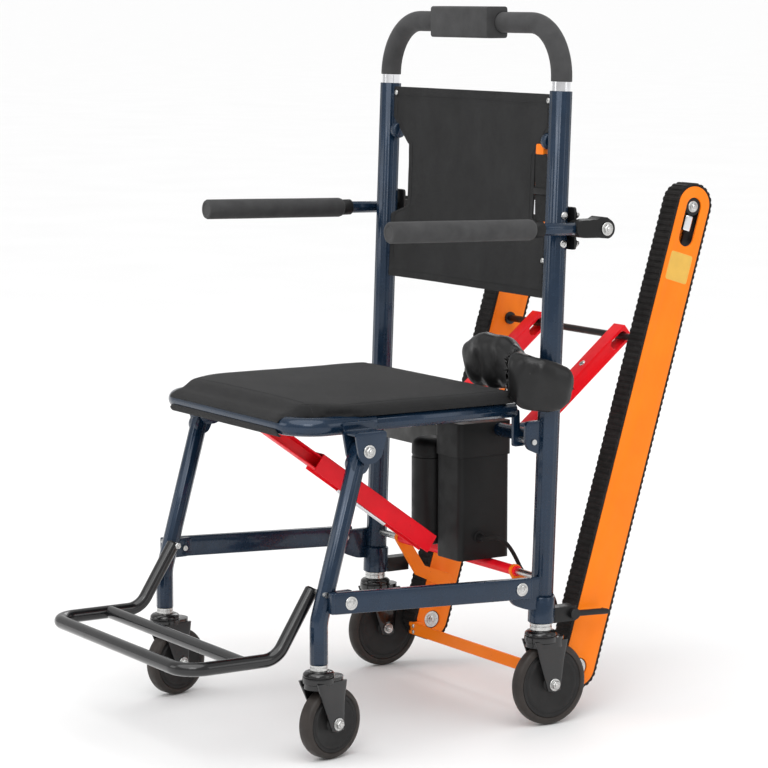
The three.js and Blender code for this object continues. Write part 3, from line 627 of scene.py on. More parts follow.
def back_edge(z):
    """Half the width of the back cloth at a height, with its notch."""
    if z < 704 or z > 853:
        return BACK_HALF
    if z < 722:
        return BACK_HALF + (BACK_WAIST - BACK_HALF) * smooth_step((z - 704) / 18)
    if z > 812:
        return BACK_WAIST + (BACK_HALF - BACK_WAIST) * ((z - 812) / 41) ** 0.9
    return BACK_WAIST


def smooth_step(t):
    t = min(1.0, max(0.0, t))
    return t * t * (3 - 2 * t)


def back_point(u, z, lift=0.0):
    """A point of the back cloth: u runs from -1 to 1 across it; it bows a little to the rear."""
    x = u * back_edge(z)
    across = 1 - (x / BACK_HALF) ** 2
    up = (z - 611) / 287
    bow = 7.0 * across * (0.55 + 0.45 * math.sin(math.pi * up))
    wave = 1.6 * noise.noise(Vector((x / 60, z / 75, 1.3)))
    wave += 0.5 * noise.noise(Vector((x / 22, z / 26, 4.1)))
    pull = 1.5 * math.sin(x / 9.0 + z / 40) * smooth_step((abs(x) - 165) / 40) * 0.6
    return at(x, upright_y(z) - 2 + bow + (wave + pull) * min(1, across * 3 + 0.15) + lift, z)


def back_cloth():
    columns, rows, thick = 84, 70, 2.4
    heights = [611 + 287 * i / rows for i in range(rows + 1)]
    shell = Shell()
    rings = []
    for z in heights:
        front = [back_point(-1 + 2 * i / columns, z, -thick / 2 - hem(z)) for i in range(columns + 1)]
        rear = [back_point(1 - 2 * i / columns, z, thick / 2 + hem(z)) for i in range(columns + 1)]
        rings.append(front + rear)
    shell.skin(rings)
    cloth = shell.make("back_cloth", "cloth", "frame", "backrest_sling", angle=60)
    seam = Shell()
    for z in (623, 886):
        stitches(seam, [back_point(-0.97 + 1.94 * i / 120, z, -thick / 2 - 0.9) for i in range(121)])
    for s in (1, -1):
        line = [back_point(s * (1 - 9 / back_edge(z)), z, -thick / 2 - 0.45) for z in range(628, 884, 4)]
        stitches(seam, line)
    seam.make("back_stitching", "thread", "frame")
    rivets = Shell()
    for s in (1, -1):
        for z in (889, 664):
            rivets.dome(at(s * 198.5, upright_y(z) - 4.2, z), at(0, -1, 0), 4.2, 2)
    rivets.make("back_rivets", "zinc", "frame")


def hem(z):
    """The turned-over strips along the top and bottom edges are thicker."""
    edge = min(z - 611, 898 - z)
    return 0.7 * (1 - smooth_step((edge - 13) / 3)) if edge > 1 else 0.2


def stitches(shell, line, pitch=4.2, length=3.0, width=0.55):
    """Short raised threads in a row along a line."""
    travelled, mark = 0.0, pitch
    for a, b in zip(line, line[1:]):
        step = (b - a).length
        while travelled + step >= mark:
            middle = a + (b - a) * ((mark - travelled) / step)
            along = (b - a).normalized()
            side = along.orthogonal().normalized()
            up = along.cross(side)
            shell.skin([round_ring(middle + along * (length * t), side, up, width * r, 5)
                        for t, r in ((-0.5, 0.3), (-0.25, 1.0), (0.25, 1.0), (0.5, 0.3))])
            mark += pitch
        travelled += step


def stowed_strap():
    path = []
    for layer in range(5):
        y = 240.2 + layer * 2.5
        heights = (719, 813) if layer % 2 == 0 else (813, 719)
        path += [(y, heights[0]), (y, heights[1])]
    outline = soft_band(path, 0.85)
    strap = Shell().side([outline], 168.8, 203.2, 0.3, 1)
    strap.make("stowed_strap", "webbing", "frame", "harness_strap")
    flap = soft([(238.6, 812), (249.6, 812), (249.2, 827.6), (239.4, 827.6)], 3)
    Shell().side([flap], 171, 189, 1.4, 2).make("strap_tab", "orange", "frame")
    clip = soft([(237.4, 756), (252.4, 756), (252.4, 766), (237.4, 766)], 2)
    keeper = Shell().side([clip], 167.4, 204.6, 0.8)
    keeper.make("strap_keeper", "plastic", "frame")


def soft_band(path, half):
    """The outline of a thin band that is folded back and forth."""
    spots = [Vector(p) for p in path]
    left, right = [], []
    for i, p in enumerate(spots):
        before = (p - spots[max(i - 1, 0)])
        after = (spots[min(i + 1, len(spots) - 1)] - p)
        ways = [w.normalized() for w in (before, after) if w.length > 0]
        normals = [Vector((-w.y, w.x)) for w in ways]
        total = normals[0] if len(normals) == 1 else (normals[0] + normals[1])
        scale = half / max(0.5, total.normalized().dot(normals[0]))
        left.append(tuple(p + total.normalized() * scale))
        right.append(tuple(p - total.normalized() * scale))
    return left + right[::-1]


# ---- padded pieces
SIMULATED_FRAMES = 20


def swell(obj, voxel, cap, pressure=4.0, weight=None):
    """Remeshes a closed pad, lets air pressure puff it up, and keeps the result within cap of its start."""
    remesh = obj.modifiers.new("remesh", "REMESH")
    remesh.mode = "VOXEL"
    remesh.voxel_size = voxel * MM
    bake(obj)
    start = [v.co.copy() for v in obj.data.vertices]
    cloth = obj.modifiers.new("cloth", "CLOTH")
    cloth.settings.use_pressure = True
    cloth.settings.uniform_pressure_force = pressure
    cloth.settings.effector_weights.gravity = 0
    for step in range(1, SIMULATED_FRAMES + 1):
        scene.frame_set(step)
    found = obj.evaluated_get(bpy.context.evaluated_depsgraph_get()).data
    moved = [found.vertices[i].co.copy() for i in range(len(start))]
    obj.modifiers.clear()
    scene.frame_set(1)
    for vert, old, new in zip(obj.data.vertices, start, moved):
        shift = new - old
        limit = cap * MM * (weight(old) if weight else 1)
        if shift.length > limit:
            shift *= limit / max(shift.length, 1e-9)
        vert.co = old + shift
    refine = obj.modifiers.new("smooth", "SMOOTH")
    refine.factor = 0.5
    refine.iterations = 3
    refine = obj.modifiers.new("subdivide", "SUBSURF")
    refine.levels = refine.render_levels = 1
    bake(obj)
    obj.data.polygons.foreach_set("use_smooth", [True] * len(obj.data.polygons))


def bake(obj):
    """Applies the modifiers of an object to its mesh."""
    graph = bpy.context.evaluated_depsgraph_get()
    mesh = bpy.data.meshes.new_from_object(obj.evaluated_get(graph))
    obj.modifiers.clear()
    old = obj.data
    obj.data = mesh
    if not mesh.materials:
        mesh.materials.append(old.materials[0])


SEAT_TOP = 481
FRONT_BAR = (-163, 454)       # middle of the front tube, which the cloth folds round


def seat_half(y):
    """Half the width of the seat cloth: narrower where the tube bends at the front."""
    return 158 + 45 * smooth_step((y + 160) / 74)


def seat_cloth():
    section = [(188, 467), (188, 478), (182, SEAT_TOP)]
    section += [(y, SEAT_TOP) for y in range(160, -150, -10)]
    section += arc(FRONT_BAR, 17.5, 78, 262, 16)
    section += arc(FRONT_BAR, 13.6, 262, 82, 16)
    section += [(y, 466.6) for y in range(-146, 188, 10)]
    columns = 60
    rings = []
    for i in range(columns + 1):
        u = -1 + 2 * i / columns
        ring = []
        for y, z in section:
            half = seat_half(y)
            over = max(0.0, abs(u) * half - (half - 9)) / 9
            drop = (5.0 if z > 470 else 4.4) * over * over
            crown = 4.5 * (1 - u * u) * max(0.0, 1 - ((y - 10) / 185) ** 2) if z > 474 else 0.0
            ring.append(at(u * half, y, z - drop + crown))
        rings.append(ring)
    seat = Shell().skin(rings).make("seat_cloth", "cloth", None, "seat_pad", angle=60)

    def top_only(co):
        high = smooth_step((co.z / MM - 472) / 5)
        front = smooth_step((-150 - (co.y / MM + Y_MID)) / 12) * smooth_step((453 - co.z / MM) / 6)
        return max(high, front * 0.4)

    swell(seat, 5.0, 1.6, weight=top_only)
    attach(seat, "seat")
    seam = Shell()
    for s in (1, -1):
        line = [on_surface(seat, s * (seat_half(y) - 14), y) for y in range(-140, 182, 4)]
        stitches(seam, line)
    for y in (-132, 176):
        line = [on_surface(seat, x, y) for x in range(-176, 180, 4)]
        stitches(seam, line)
    seam.make("seat_stitching", "thread", "seat")


def on_surface(obj, x, y, lift=0.25):
    """The point of a piece straight below (x, y), seen from above."""
    start = in_frame(at(x, y, 700))
    hit, where, _, _ = obj.ray_cast(start, Vector((0, 0, -1)))
    z = where.z / MM if hit else SEAT_TOP
    return at(x, y, z + lift)


def belt_pad():
    """A padded vinyl belt that lies behind the seat and folds round the near upright."""
    path = [
        (at(50, 203, 505), 15, 8), (at(56, 203, 508), 29, 12), (at(75, 203, 512), 38, 15),
        (at(105, 204, 515), 42, 17), (at(135, 204, 516), 43, 17), (at(160, 203, 514), 41, 16),
        (at(180, 199, 511), 37, 14), (at(193, 193, 508), 34, 13), (at(203, 186, 506), 36, 14),
        (at(216, 180, 503), 40, 15), (at(232, 181, 500), 41, 15), (at(246, 192, 496), 40, 14),
        (at(253, 212, 492), 37, 13), (at(254, 230, 489), 31, 12), (at(252, 243, 487), 20, 8),
    ]
    route = [p for p, _, _ in path]
    rings = []
    for i, (p, tall, deep) in enumerate(path):
        ahead = (route[min(i + 1, len(route) - 1)] - route[max(i - 1, 0)]).normalized()
        out = ahead.cross(Z_AXIS).normalized()
        up = out.cross(ahead).normalized()
        rings.append([p + out * (deep * squarish(c, 0.75)) + up * (tall * squarish(v, 0.6))
                      for c, v in circle(36)])
    pad = Shell().skin(rings).make("belt_cushion", "vinyl", None, "belt_pad", angle=80)
    swell(pad, 4.0, 2.5, pressure=5.0)
    for vert in pad.data.vertices:
        x, y, z = vert.co.x / MM, vert.co.y / MM + Y_MID, vert.co.z / MM
        crease = math.exp(-((x - 197 + (z - 510) * 0.2) / 7) ** 2) * smooth_step((200 - y) / 10)
        fold = math.sin((x * 0.12 + z * 0.05) + 2 * noise.noise(Vector((x / 45, y / 45, z / 60))))
        small = noise.noise(Vector((x / 26, y / 26, z / 40)))
        vert.co += vert.normal * MM * (-3.2 * crease + 1.3 * fold + 1.2 * small - 1)
    pad.data.update()
    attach(pad, "frame")
    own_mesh(pad)


# ---- seat frame
RAIL_X, RAIL_Z = 190, 454


def seat_frame():
    front = bend([at(RAIL_X, -44, RAIL_Z), at(RAIL_X, -163, RAIL_Z), at(-RAIL_X, -163, RAIL_Z),
                  at(-RAIL_X, -44, RAIL_Z)], 45, 16)
    Shell().sweep(front, 13, 44, edge=1.6).make("seat_loop", "navy", "seat", "seat_frame")
    shell = Shell()
    for s in (1, -1):
        rail = [at(s * RAIL_X, -52, RAIL_Z), at(s * RAIL_X, 190, RAIL_Z)]
        shell.sweep(rail, 11, 72, flutes=12, groove=0.35)
    shell.make("seat_rails", "navy", "seat", angle=50)
    shell = Shell().sweep([at(-RAIL_X, 176, RAIL_Z), at(RAIL_X, 176, RAIL_Z)], 8, 28)
    for s in (1, -1):
        y, z = SEAT_REAR_PIVOT
        hanger = soft([(y - 11, z - 10), (y + 8, z - 10), (y + 8, z + 8), (y, z + 14), (y - 1, z + 43),
                       (y - 11, z + 43)], 4)
        shell.side([hanger], *span(s, RAIL_X - 4, RAIL_X + 2), 0.8)
        cheek = soft([(-104, 450), (-97, 412), (-89, 406), (-73, 406), (-62, 414), (-52, 450)], 9)
        shell.side([cheek], *span(s, 203, 208), 0.9)
        shell.side([cheek], *span(s, 236, 240), 0.9)
        bridge = soft([(-100, 443.2), (-54, 443.2), (-54, 448), (-100, 448)], 1.5)
        shell.side([bridge], *span(s, 187, 239), 0.6)
        web = soft([(-100, 444), (-56, 444), (-52, 460), (-104, 460)], 5)
        shell.side([web], *span(s, 196, 207), 1.2)
    shell.make("seat_brackets", "navy", "seat")
    for label, s in sides():
        shell = Shell()
        x0 = s * 198
        shell.lathe([(0, 3.9), (47, 3.9)], at(x0, *SEAT_FRONT_PIVOT), X_AXIS * s, 20)
        shell.nut(at(s * 240.2, *SEAT_FRONT_PIVOT), X_AXIS * s, 6.8, 3.6)
        shell.nut(at(s * 202.8, *SEAT_FRONT_PIVOT), X_AXIS * -s, 6, 3, washer=False)
        shell.make(f"seat_bolt_{label}", "zinc", "front_legs", f"seat_front_bolt_{label}")
    rivets = Shell()
    for s in (1, -1):
        rivets.dome(at(s * 202.4, -76, 457), X_AXIS * s, 3.4, 1.6)
    rivets.make("seat_rivets", "zinc", "seat")


# ---- red brace
def channel(outline, start, end, bevel):
    """A section, drawn across X and upwards, run between two places of the side view."""
    along = at(0, end[0] - start[0], end[1] - start[1])
    up = X_AXIS.cross(along).normalized()
    return Shell().prism([outline], at(0, *start), X_AXIS, up, along, bevel, 1)


def brace():
    wall = 2.5
    section = soft([(50, -14), (50, 14), (75, 14), (75, -14), (75 - wall, -14), (75 - wall, 14 - wall),
                    (50 + wall, 14 - wall), (50 + wall, -14)], 1.6, 3)
    sleeve = channel(section, (-62, 384), (128, 248), 0.4)
    sleeve.make("brace_sleeve", "red", "seat", "brace_outer")
    section = soft([(72, -10), (53, -10), (53, 10), (72, 10), (72, 8), (55, 8), (55, -8), (72, -8)], 1.2, 3)
    slider = channel(section, (-142, 441), (10, 332.6), 0.3)
    slider.make("brace_slider", "red", "seat", "brace_inner")
    shell = Shell().lathe([(0, 3), (1, 4), (97, 4), (98, 3)], at(62.5, -25, 341), at(0, 80, -57), 28)
    shell.make("brace_spring_rod", "chrome", "seat", "brace_rod")


# ---- motor and battery
def drive_unit():
    plate = soft([(-184, 366), (35.4, 366), (35.4, 402), (-184, 402)], 3)
    shell = Shell().prism([plate], at(0, 208.5, 0), X_AXIS, Z_AXIS, at(0, 2.8, 0), 0.6)
    shell.make("motor_bracket", "grey", "frame", "motor_plate")
    can = [(0, 20), (2, 26), (6, 27.8), (20, 27.8), (20.6, 27.2), (22, 27.2), (22.6, 27.8), (128, 27.8)]
    can += [(129, 26.8), (132, 26.8), (133, 27.8), (146, 27.6), (151, 25.6), (155, 21), (157.5, 14)]
    shell = Shell().lathe(can + [(158.8, 6), (159, 0.4)], at(4, 171, 236), Z_AXIS, 56)
    shell.block(-16, 24, 188, 208.2, 300, 380, 4, 1.5)
    shell.make("motor_case", "plastic", "frame", "motor_housing")
    shell = Shell()
    outline = soft([(36.2, 159.4), (99.8, 159.4), (99.8, 246.6), (36.2, 246.6)], 9, 7)
    shell.plan([outline], 222.7, 373.8, 2.4, 3)
    shell.make("battery_case", "plastic", "frame", "battery_box")
    outline = soft([(35.9, 157.2), (101.8, 157.2), (101.8, 248.8), (35.9, 248.8)], 9, 7)
    shell = Shell().plan([outline], 374.3, 423.8, 2.0, 3)
    shell.make("battery_lid", "plastic", "frame", "battery_cap")
    gland = [(0, 8), (1.6, 8), (2.2, 6.6), (8, 5.4), (13, 3.9), (13.2, 3.2)]
    shell = Shell().lathe(gland, at(99.6, 192, 256), X_AXIS, 32)
    shell.make("cable_gland", "plastic", "frame")
    route = [at(108, 192, 256), at(113, 193, 256.4), at(117, 199, 257), at(118.5, 208, 256.5),
             at(119, 219, 252.5), at(119, 229, 245), at(119, 238, 234), at(119, 246, 221),
             at(119, 253, 208), at(120, 260, 199), at(122, 268, 193), at(125, 277, 188.5),
             at(130, 286, 182), at(136, 293, 172), at(142, 297, 160), at(145.6, 298, 149)]
    lead = Shell().sweep(smooth_route(route), 3.0, 20, edge=0.5)
    lead = lead.make("drive_cable", "rubber", None, "battery_cable")
    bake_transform(lead)


def smooth_route(points, per=4):
    """A Catmull-Rom curve through points."""
    out = []
    for i in range(len(points) - 1):
        p0, p1 = points[max(i - 1, 0)], points[i]
        p2, p3 = points[i + 1], points[min(i + 2, len(points) - 1)]
        for k in range(per):
            t = k / per
            out.append(0.5 * ((2 * p1) + (p2 - p0) * t + (2 * p0 - 5 * p1 + 4 * p2 - p3) * t * t
                              + (3 * p1 - p0 - 3 * p2 + p3) * t ** 3))
    out.append(points[-1])
    return out


# ---- legs, bars and footrest
FOOT_X, FOOT_Z = 199, 143


def legs():
    for label, s in sides():
        x = s * UPRIGHT_X
        path = bend([at(x, -90, 412), at(x, -152, 192), at(x, -152, 134)], 60, 10)
        shell = Shell().sweep(path, 12.5, 84, flutes=12, groove=0.4)
        shell.make(f"leg_tube_{label}", "navy", "front_legs", f"front_leg_{label}", angle=50)
        shell = Shell().side([link((-91, 404), SEAT_FRONT_PIVOT, 13)], *span(s, 211.4, 232.6), 2.2)
        ear = soft([(-146, 206), (-110, 206), (-104, 212), (-104, 234), (-138, 234)], 5)
        shell.side([ear], *span(s, 226, 232), 0.9)
        shell.make(f"leg_lugs_{label}", "navy", "front_legs")
        a, b = BAR_FRONT_PIVOT, BAR_REAR_PIVOT
        slope = (b[1] - a[1]) / (b[0] - a[0])
        level = [a[1] + slope * (y - a[0]) for y in (-146, 182)]
        outline = [(-142, level[0] - 15), (182, level[1] - 15), (182, level[1] + 15), (-142, level[0] + 15)]
        shell = Shell().side([outline], *span(s, 236.1, 247.9), 2.4, 3)
        shell.make(f"side_bar_{label}", "navy", "lower_bars", f"lower_bar_{label}")
        shell = Shell()
        for y0, y1, z, bevel in ((-146, -140, level[0], 1.8), (181, 184.5, level[1], 1.4)):
            cap = [(y0, z - 14.6), (y1, z - 14.6), (y1, z + 14.6), (y0, z + 14.6)]
            shell.side([cap], *span(s, 236.4, 247.6), bevel, 3)
        shell.make(f"side_bar_caps_{label}", "navy", "lower_bars")
        shell = Shell()
        for place in (a, b):
            shell.lathe([(0, 3.9), (20, 3.9)], at(s * 222.5, *place), X_AXIS * s, 20)
            shell.lathe([(0, 9.4), (1.2, 9.4), (1.6, 9)], at(s * 247.8, *place), X_AXIS * s, 32)
            shell.dome(at(s * 249, *place), X_AXIS * s, 7.2, 2.4)
        shell.make(f"side_bar_bolts_{label}", "zinc", "lower_bars")
    half = [at(FOOT_X, -148, 235), at(FOOT_X, -206, FOOT_Z), at(FOOT_X, -347, FOOT_Z)]
    other = [at(-p.x, p.y, p.z) for p in half[::-1]]
    shell = Shell().sweep(bend(half + other, 34, 14), 9.5, 36, edge=2.5)
    shell.sweep([at(-196, -256, FOOT_Z), at(196, -256, FOOT_Z)], 9.2, 32)
    shell.make("foot_loop", "gloss", "footrest", "footrest")
    shell = Shell()
    for s in (1, -1):
        shell.lathe([(0, 3.9), (36, 3.9)], at(s * FOOT_X, -147, 231), X_AXIS * s, 20)
        shell.nut(at(s * 190, -147, 231), X_AXIS * -s, 5, 3, washer=False)
    shell.make("foot_pins", "zinc", "footrest")


# ---- casters
CASTERS = {
    "front": {"y": -152, "radius": 50, "width": 24, "trail": 20, "turn": 12,
              "ring": 127, "head": 23, "collar": 12.2, "rise": 6.6},
    "rear": {"y": 217, "radius": 60, "width": 20, "trail": 14, "turn": 0,
             "ring": 141, "head": 24, "collar": 15.6, "rise": 8.4},
}


class Turned:
    """Places of a caster, counted from its stem, turned to its heading."""

    def __init__(self, kind, s):
        self.turn = Matrix.Rotation(math.radians(kind["turn"]), 3, "Z")
        self.root = at(s * UPRIGHT_X, kind["y"], 0)

    def at(self, x, y, z):
        return self.root + self.turn @ at(x, y, z)

    def way(self, x, y, z):
        return self.turn @ at(x, y, z)


def caster(prefix, label, s):
    kind = CASTERS[prefix]
    here = Turned(kind, s)
    r, half, trail = kind["radius"], kind["width"] / 2, kind["trail"]
    ring, head = kind["ring"], kind["head"]
    across = here.way(1, 0, 0)
    top = ring - 1
    crown = [(-19, head - 3), (-17, head - 0.4), (-12, head), (-9, head - 0.6), (-8.4, head - 2.2),
             (-7.6, head - 2.2), (-7, head - 0.8), (-4, head - 1.4), (-1.6, head - 4), (-0.4, head - 8)]
    shell = Shell().lathe(crown, here.at(0, 0, top), Z_AXIS, 48)
    yoke = link((-1, 0), (trail * 0.62 + 6, 0), head - 3, 18)
    shell.prism([yoke], here.at(0, 0, top - 25), here.way(0, 1, 0), here.way(1, 0, 0), at(0, 0, 15), 4, 4)
    for q in (1, -1):
        rings = []
        for t in [i / 12 for i in range(13)]:
            y = 7 + (trail - 7) * t
            z = (top - 15) + (r + 6 - top) * t
            wide = (head + 4) * (1 - t) + 10.5 * t
            inner = half + 2 + 1.6 * (1 - smooth_step(t * 3))
            outer = half + 6 + 3.5 * (1 - smooth_step(t * 2.2))
            rings.append(fork_ring(here, q, y, z, wide, inner, outer))
        shell.skin(rings)
        boss = [(0, 10.6), (0.4, 11), (3.6, 11), (4, 10.4)]
        shell.lathe(boss, here.at(q * (half + 2), trail, r), across * q, 36)
    body = f"{prefix}_caster_{label}"
    shell.make(f"{prefix}_caster_fork_{label}", "gloss", body, f"{prefix}_fork_{label}", angle=45)
    shell = Shell()
    collar, rise = kind["collar"], kind["rise"]
    stem = [(-1.6, collar - 1), (-0.8, collar), (rise * 0.45, collar), (rise * 0.5, collar - 0.9),
            (rise * 0.62, collar - 0.9), (rise * 0.68, collar - 0.2), (rise, collar - 0.2), (rise, 5.6),
            (36, 5.6)]
    shell.lathe(stem, here.at(0, 0, ring), Z_AXIS, 40)
    shell.lathe([(0, 3.9), (2 * half + 14, 3.9)], here.at(-half - 7, trail, r), across, 20)
    for q in (1, -1):
        shell.nut(here.at(q * (half + 6), trail, r), across * q, 6.6 if q == s else 5.8, 4.2)
    shell.make(f"{prefix}_caster_stem_{label}", "zinc", body)
    wheel = f"{prefix}_wheel_{label}"
    middle = here.at(0, trail, r)
    inner = r * 0.82
    shell = Shell()
    flank = [(half - 5.2, r - 0.3), (half - 2.6, r - 1.6), (half - 0.9, r - 4.4), (half - 0.2, r * 0.87),
             (half - 0.6, inner + 1.2), (half - 2.2, inner)]
    profile = [(-x, radius) for x, radius in flank[::-1]] + [(0, r)] + flank
    shell.lathe(profile, middle, across, 96, loop=True)
    shell.make(f"{prefix}_tread_{label}", "tyre", wheel, f"{prefix}_tyre_{label}")
    shell = Shell()
    edge = inner - 0.3
    face = [(0.8, 5.2), (0.8, 10.5), (-1.6, 12.2), (-2.8, 13.4), (-2.8, edge * 0.72), (-1.4, edge * 0.78),
            (-1.2, edge * 0.86), (-2.4, edge * 0.9), (-1.6, edge)]
    profile = [(-half - out, radius) for out, radius in face]
    profile += [(half + out, radius) for out, radius in face[::-1]]
    shell.lathe(profile, middle, across, 72, loop=True)
    shell.make(f"{prefix}_wheel_disc_{label}", "core", wheel, f"{prefix}_hub_{label}")


def fork_ring(here, q, y, z, wide, inner, outer):
    """A rounded rectangle across one fork leg at a height."""
    middle, thick = (inner + outer) / 2, (outer - inner) / 2
    return [here.at(q * (middle + thick * squarish(c, 0.45)), y + wide * squarish(v, 0.55), z)
            for c, v in circle(28)]


def brakes():
    for label, s in sides():
        shell = Shell()
        hinge = at(s * 232.4, 266, 159)
        shell.lathe([(0, 7), (0.8, 8), (6.8, 8), (7.6, 7)], hinge, X_AXIS * s, 32)
        rings = []
        for y, z, tall in ((262, 159.2, 5), (275, 159, 4.4), (300, 158, 4.3), (318, 157, 4.3),
                           (323, 156.6, 3.9), (326, 156.3, 2.8), (327.2, 156.1, 1.6)):
            rings.append([at(s * (236 + 3.7 * squarish(c, 0.7)), y, z + tall * squarish(v, 0.7))
                          for c, v in circle(20)])
        shell.skin(rings)
        shell.sweep([at(s * 236.5, 322, 156), at(s * 221.5, 325.4, 155.6)], 3.4, 20)
        shell.make(f"brake_lever_{label}", "satin", f"brake_{label}", f"brake_pedal_{label}")


# ---- stair tracks
TRACK_X, TRACK_HALF = 194, 17.6
TRACK_TOP, TRACK_LOW = Vector((492, 733)), Vector((292.5, 72.5))
TRACK_RUN = (TRACK_TOP - TRACK_LOW).length
TRACK_WAY = (TRACK_TOP - TRACK_LOW).normalized()
TRACK_TILT = math.degrees(math.atan2(TRACK_WAY.y, TRACK_WAY.x))
UP_THE_TRACK = at(0, TRACK_WAY.x, TRACK_WAY.y)
ACROSS_THE_TRACK = at(0, TRACK_WAY.y, -TRACK_WAY.x)
CORE_R, BELT_R, CLEAT_R = 27.6, 31.3, 32.4


def down_track(run):
    return tuple(TRACK_TOP - TRACK_WAY * run)


def belt_outline(inner, base, tip, pitch):
    """Points of the belt's outer line, with a low cleat each pitch, and of its inner line."""
    around = 2 * TRACK_RUN + 2 * math.pi * base
    cleats = round(around / pitch)
    step = around / cleats
    turn = math.pi * base

    def spot(distance, radius):
        d = distance % around
        if d < TRACK_RUN:
            centre, angle = TRACK_LOW + TRACK_WAY * d, TRACK_TILT - 90
        elif d < TRACK_RUN + turn:
            centre, angle = TRACK_TOP, TRACK_TILT - 90 + math.degrees((d - TRACK_RUN) / base)
        elif d < 2 * TRACK_RUN + turn:
            centre, angle = TRACK_TOP - TRACK_WAY * (d - TRACK_RUN - turn), TRACK_TILT + 90
        else:
            centre, angle = TRACK_LOW, TRACK_TILT + 90 + math.degrees((d - 2 * TRACK_RUN - turn) / base)
        angle = math.radians(angle)
        return (centre.x + radius * math.cos(angle), centre.y + radius * math.sin(angle))

    line = []
    for i in range(cleats):
        for part, radius in ((0.08, base), (0.22, tip), (0.62, tip), (0.76, base)):
            line.append(spot((i + part) * step, radius))
    return line, link(tuple(TRACK_LOW), tuple(TRACK_TOP), inner, 28)


def tracks():
    for label, s in sides():
        x0, x1 = span(s, TRACK_X - TRACK_HALF, TRACK_X + TRACK_HALF)
        rim = link(tuple(TRACK_LOW), tuple(TRACK_TOP), CORE_R, 28)
        slot = link(down_track(48), down_track(2), 13.4, 14)
        eye = arc(tuple(TRACK_LOW), 14, 0, 360, 32)[:-1]
        shell = Shell()
        for a, b in ((x0, x0 + 3.2), (x1 - 3.2, x1)):
            shell.side([rim, slot, eye], a, b, 0.7)
        shell.make(f"track_plates_{label}", "orange", "tracks", f"track_core_{label}")
        core = link(tuple(TRACK_LOW), tuple(TRACK_TOP), CORE_R - 1.6, 24)
        wide = link(down_track(49), down_track(1), 15.4, 14)
        hub = arc(tuple(TRACK_LOW), 15, 0, 360, 28)[:-1]
        shell = Shell().side([core, wide, hub], x0 + 3.3, x1 - 3.3, 0.4)
        shell.make(f"track_body_{label}", "satin", "tracks")
        outer, inner = belt_outline(CORE_R + 0.25, BELT_R, CLEAT_R, 9.0)
        shell = Shell().side([outer, inner], x0 + 0.6, x1 - 0.6, 0.35, 1)
        shell.make(f"track_loop_{label}", "rubber", "tracks", f"track_belt_{label}", angle=30)
        shell = Shell().lathe([(-16, 8), (-15.8, 12.6), (-14.5, 13.3), (14.5, 13.3), (15.8, 12.6), (16, 8)],
                              at(s * TRACK_X, *TRACK_LOW), X_AXIS, 40)
        for q in (1, -1):
            shell.nut(at(s * TRACK_X + q * 15.8, *TRACK_LOW), X_AXIS * q, 6.2, 1.6)
        shell.make(f"drive_wheel_{label}", "zinc", "drive", f"drive_hub_{label}")
        y, z = down_track(2)
        drum = [(-15, 8), (-15, 13), (-13.6, 13.2), (-6, 13.2), (-5, 12.2)]
        drum += [(-x, radius) for x, radius in drum[::-1]]
        shell = Shell().lathe(drum, at(s * TRACK_X, y, z), X_AXIS, 40)
        shell.make(f"roller_drum_{label}", "satin", f"roller_{label}")
        shell = Shell()
        for q in (1, -1):
            shell.nut(at(s * TRACK_X + q * 14.6, y, z), X_AXIS * q, 6.2, 2.0)
        shell.make(f"roller_bolt_{label}", "zinc", f"roller_{label}", f"tension_roller_{label}")
        y, z = down_track(27)
        block = soft([(-6.4, -11), (6.4, -11), (6.4, 11), (-6.4, 11)], 2.5)
        place = at(s * TRACK_X - 13, y, z)
        shell = Shell().prism([block], place, ACROSS_THE_TRACK, UP_THE_TRACK, at(26, 0, 0))
        shell.make(f"tension_block_{label}", "chrome", "tracks")
    y, z = down_track(93)
    square = soft([(-20, -21), (20, -21), (20, 21), (-20, 21)], 4)
    shell = Shell().prism([square], at(TRACK_X + TRACK_HALF - 0.2, y, z), ACROSS_THE_TRACK, UP_THE_TRACK,
                          at(0.45, 0, 0), 0.1, 1)
    shell.make("track_sticker", "sticker", "tracks")
    reach = TRACK_X - TRACK_HALF - 0.4
    rod, centre = [(-reach, 4), (1 - reach, 5.2), (reach - 1, 5.2), (reach, 4)], at(0, *STRUT_HIGH)
    shell = Shell().lathe(rod, centre, X_AXIS, 32)
    for q in (1, -1):
        shell.lathe([(reach - 2.4, 9), (reach - 2, 9.6), (reach - 0.2, 9.6)], centre, X_AXIS * q, 32)
    shell.make("strut_rod", "satin", "tracks", "strut_rod")


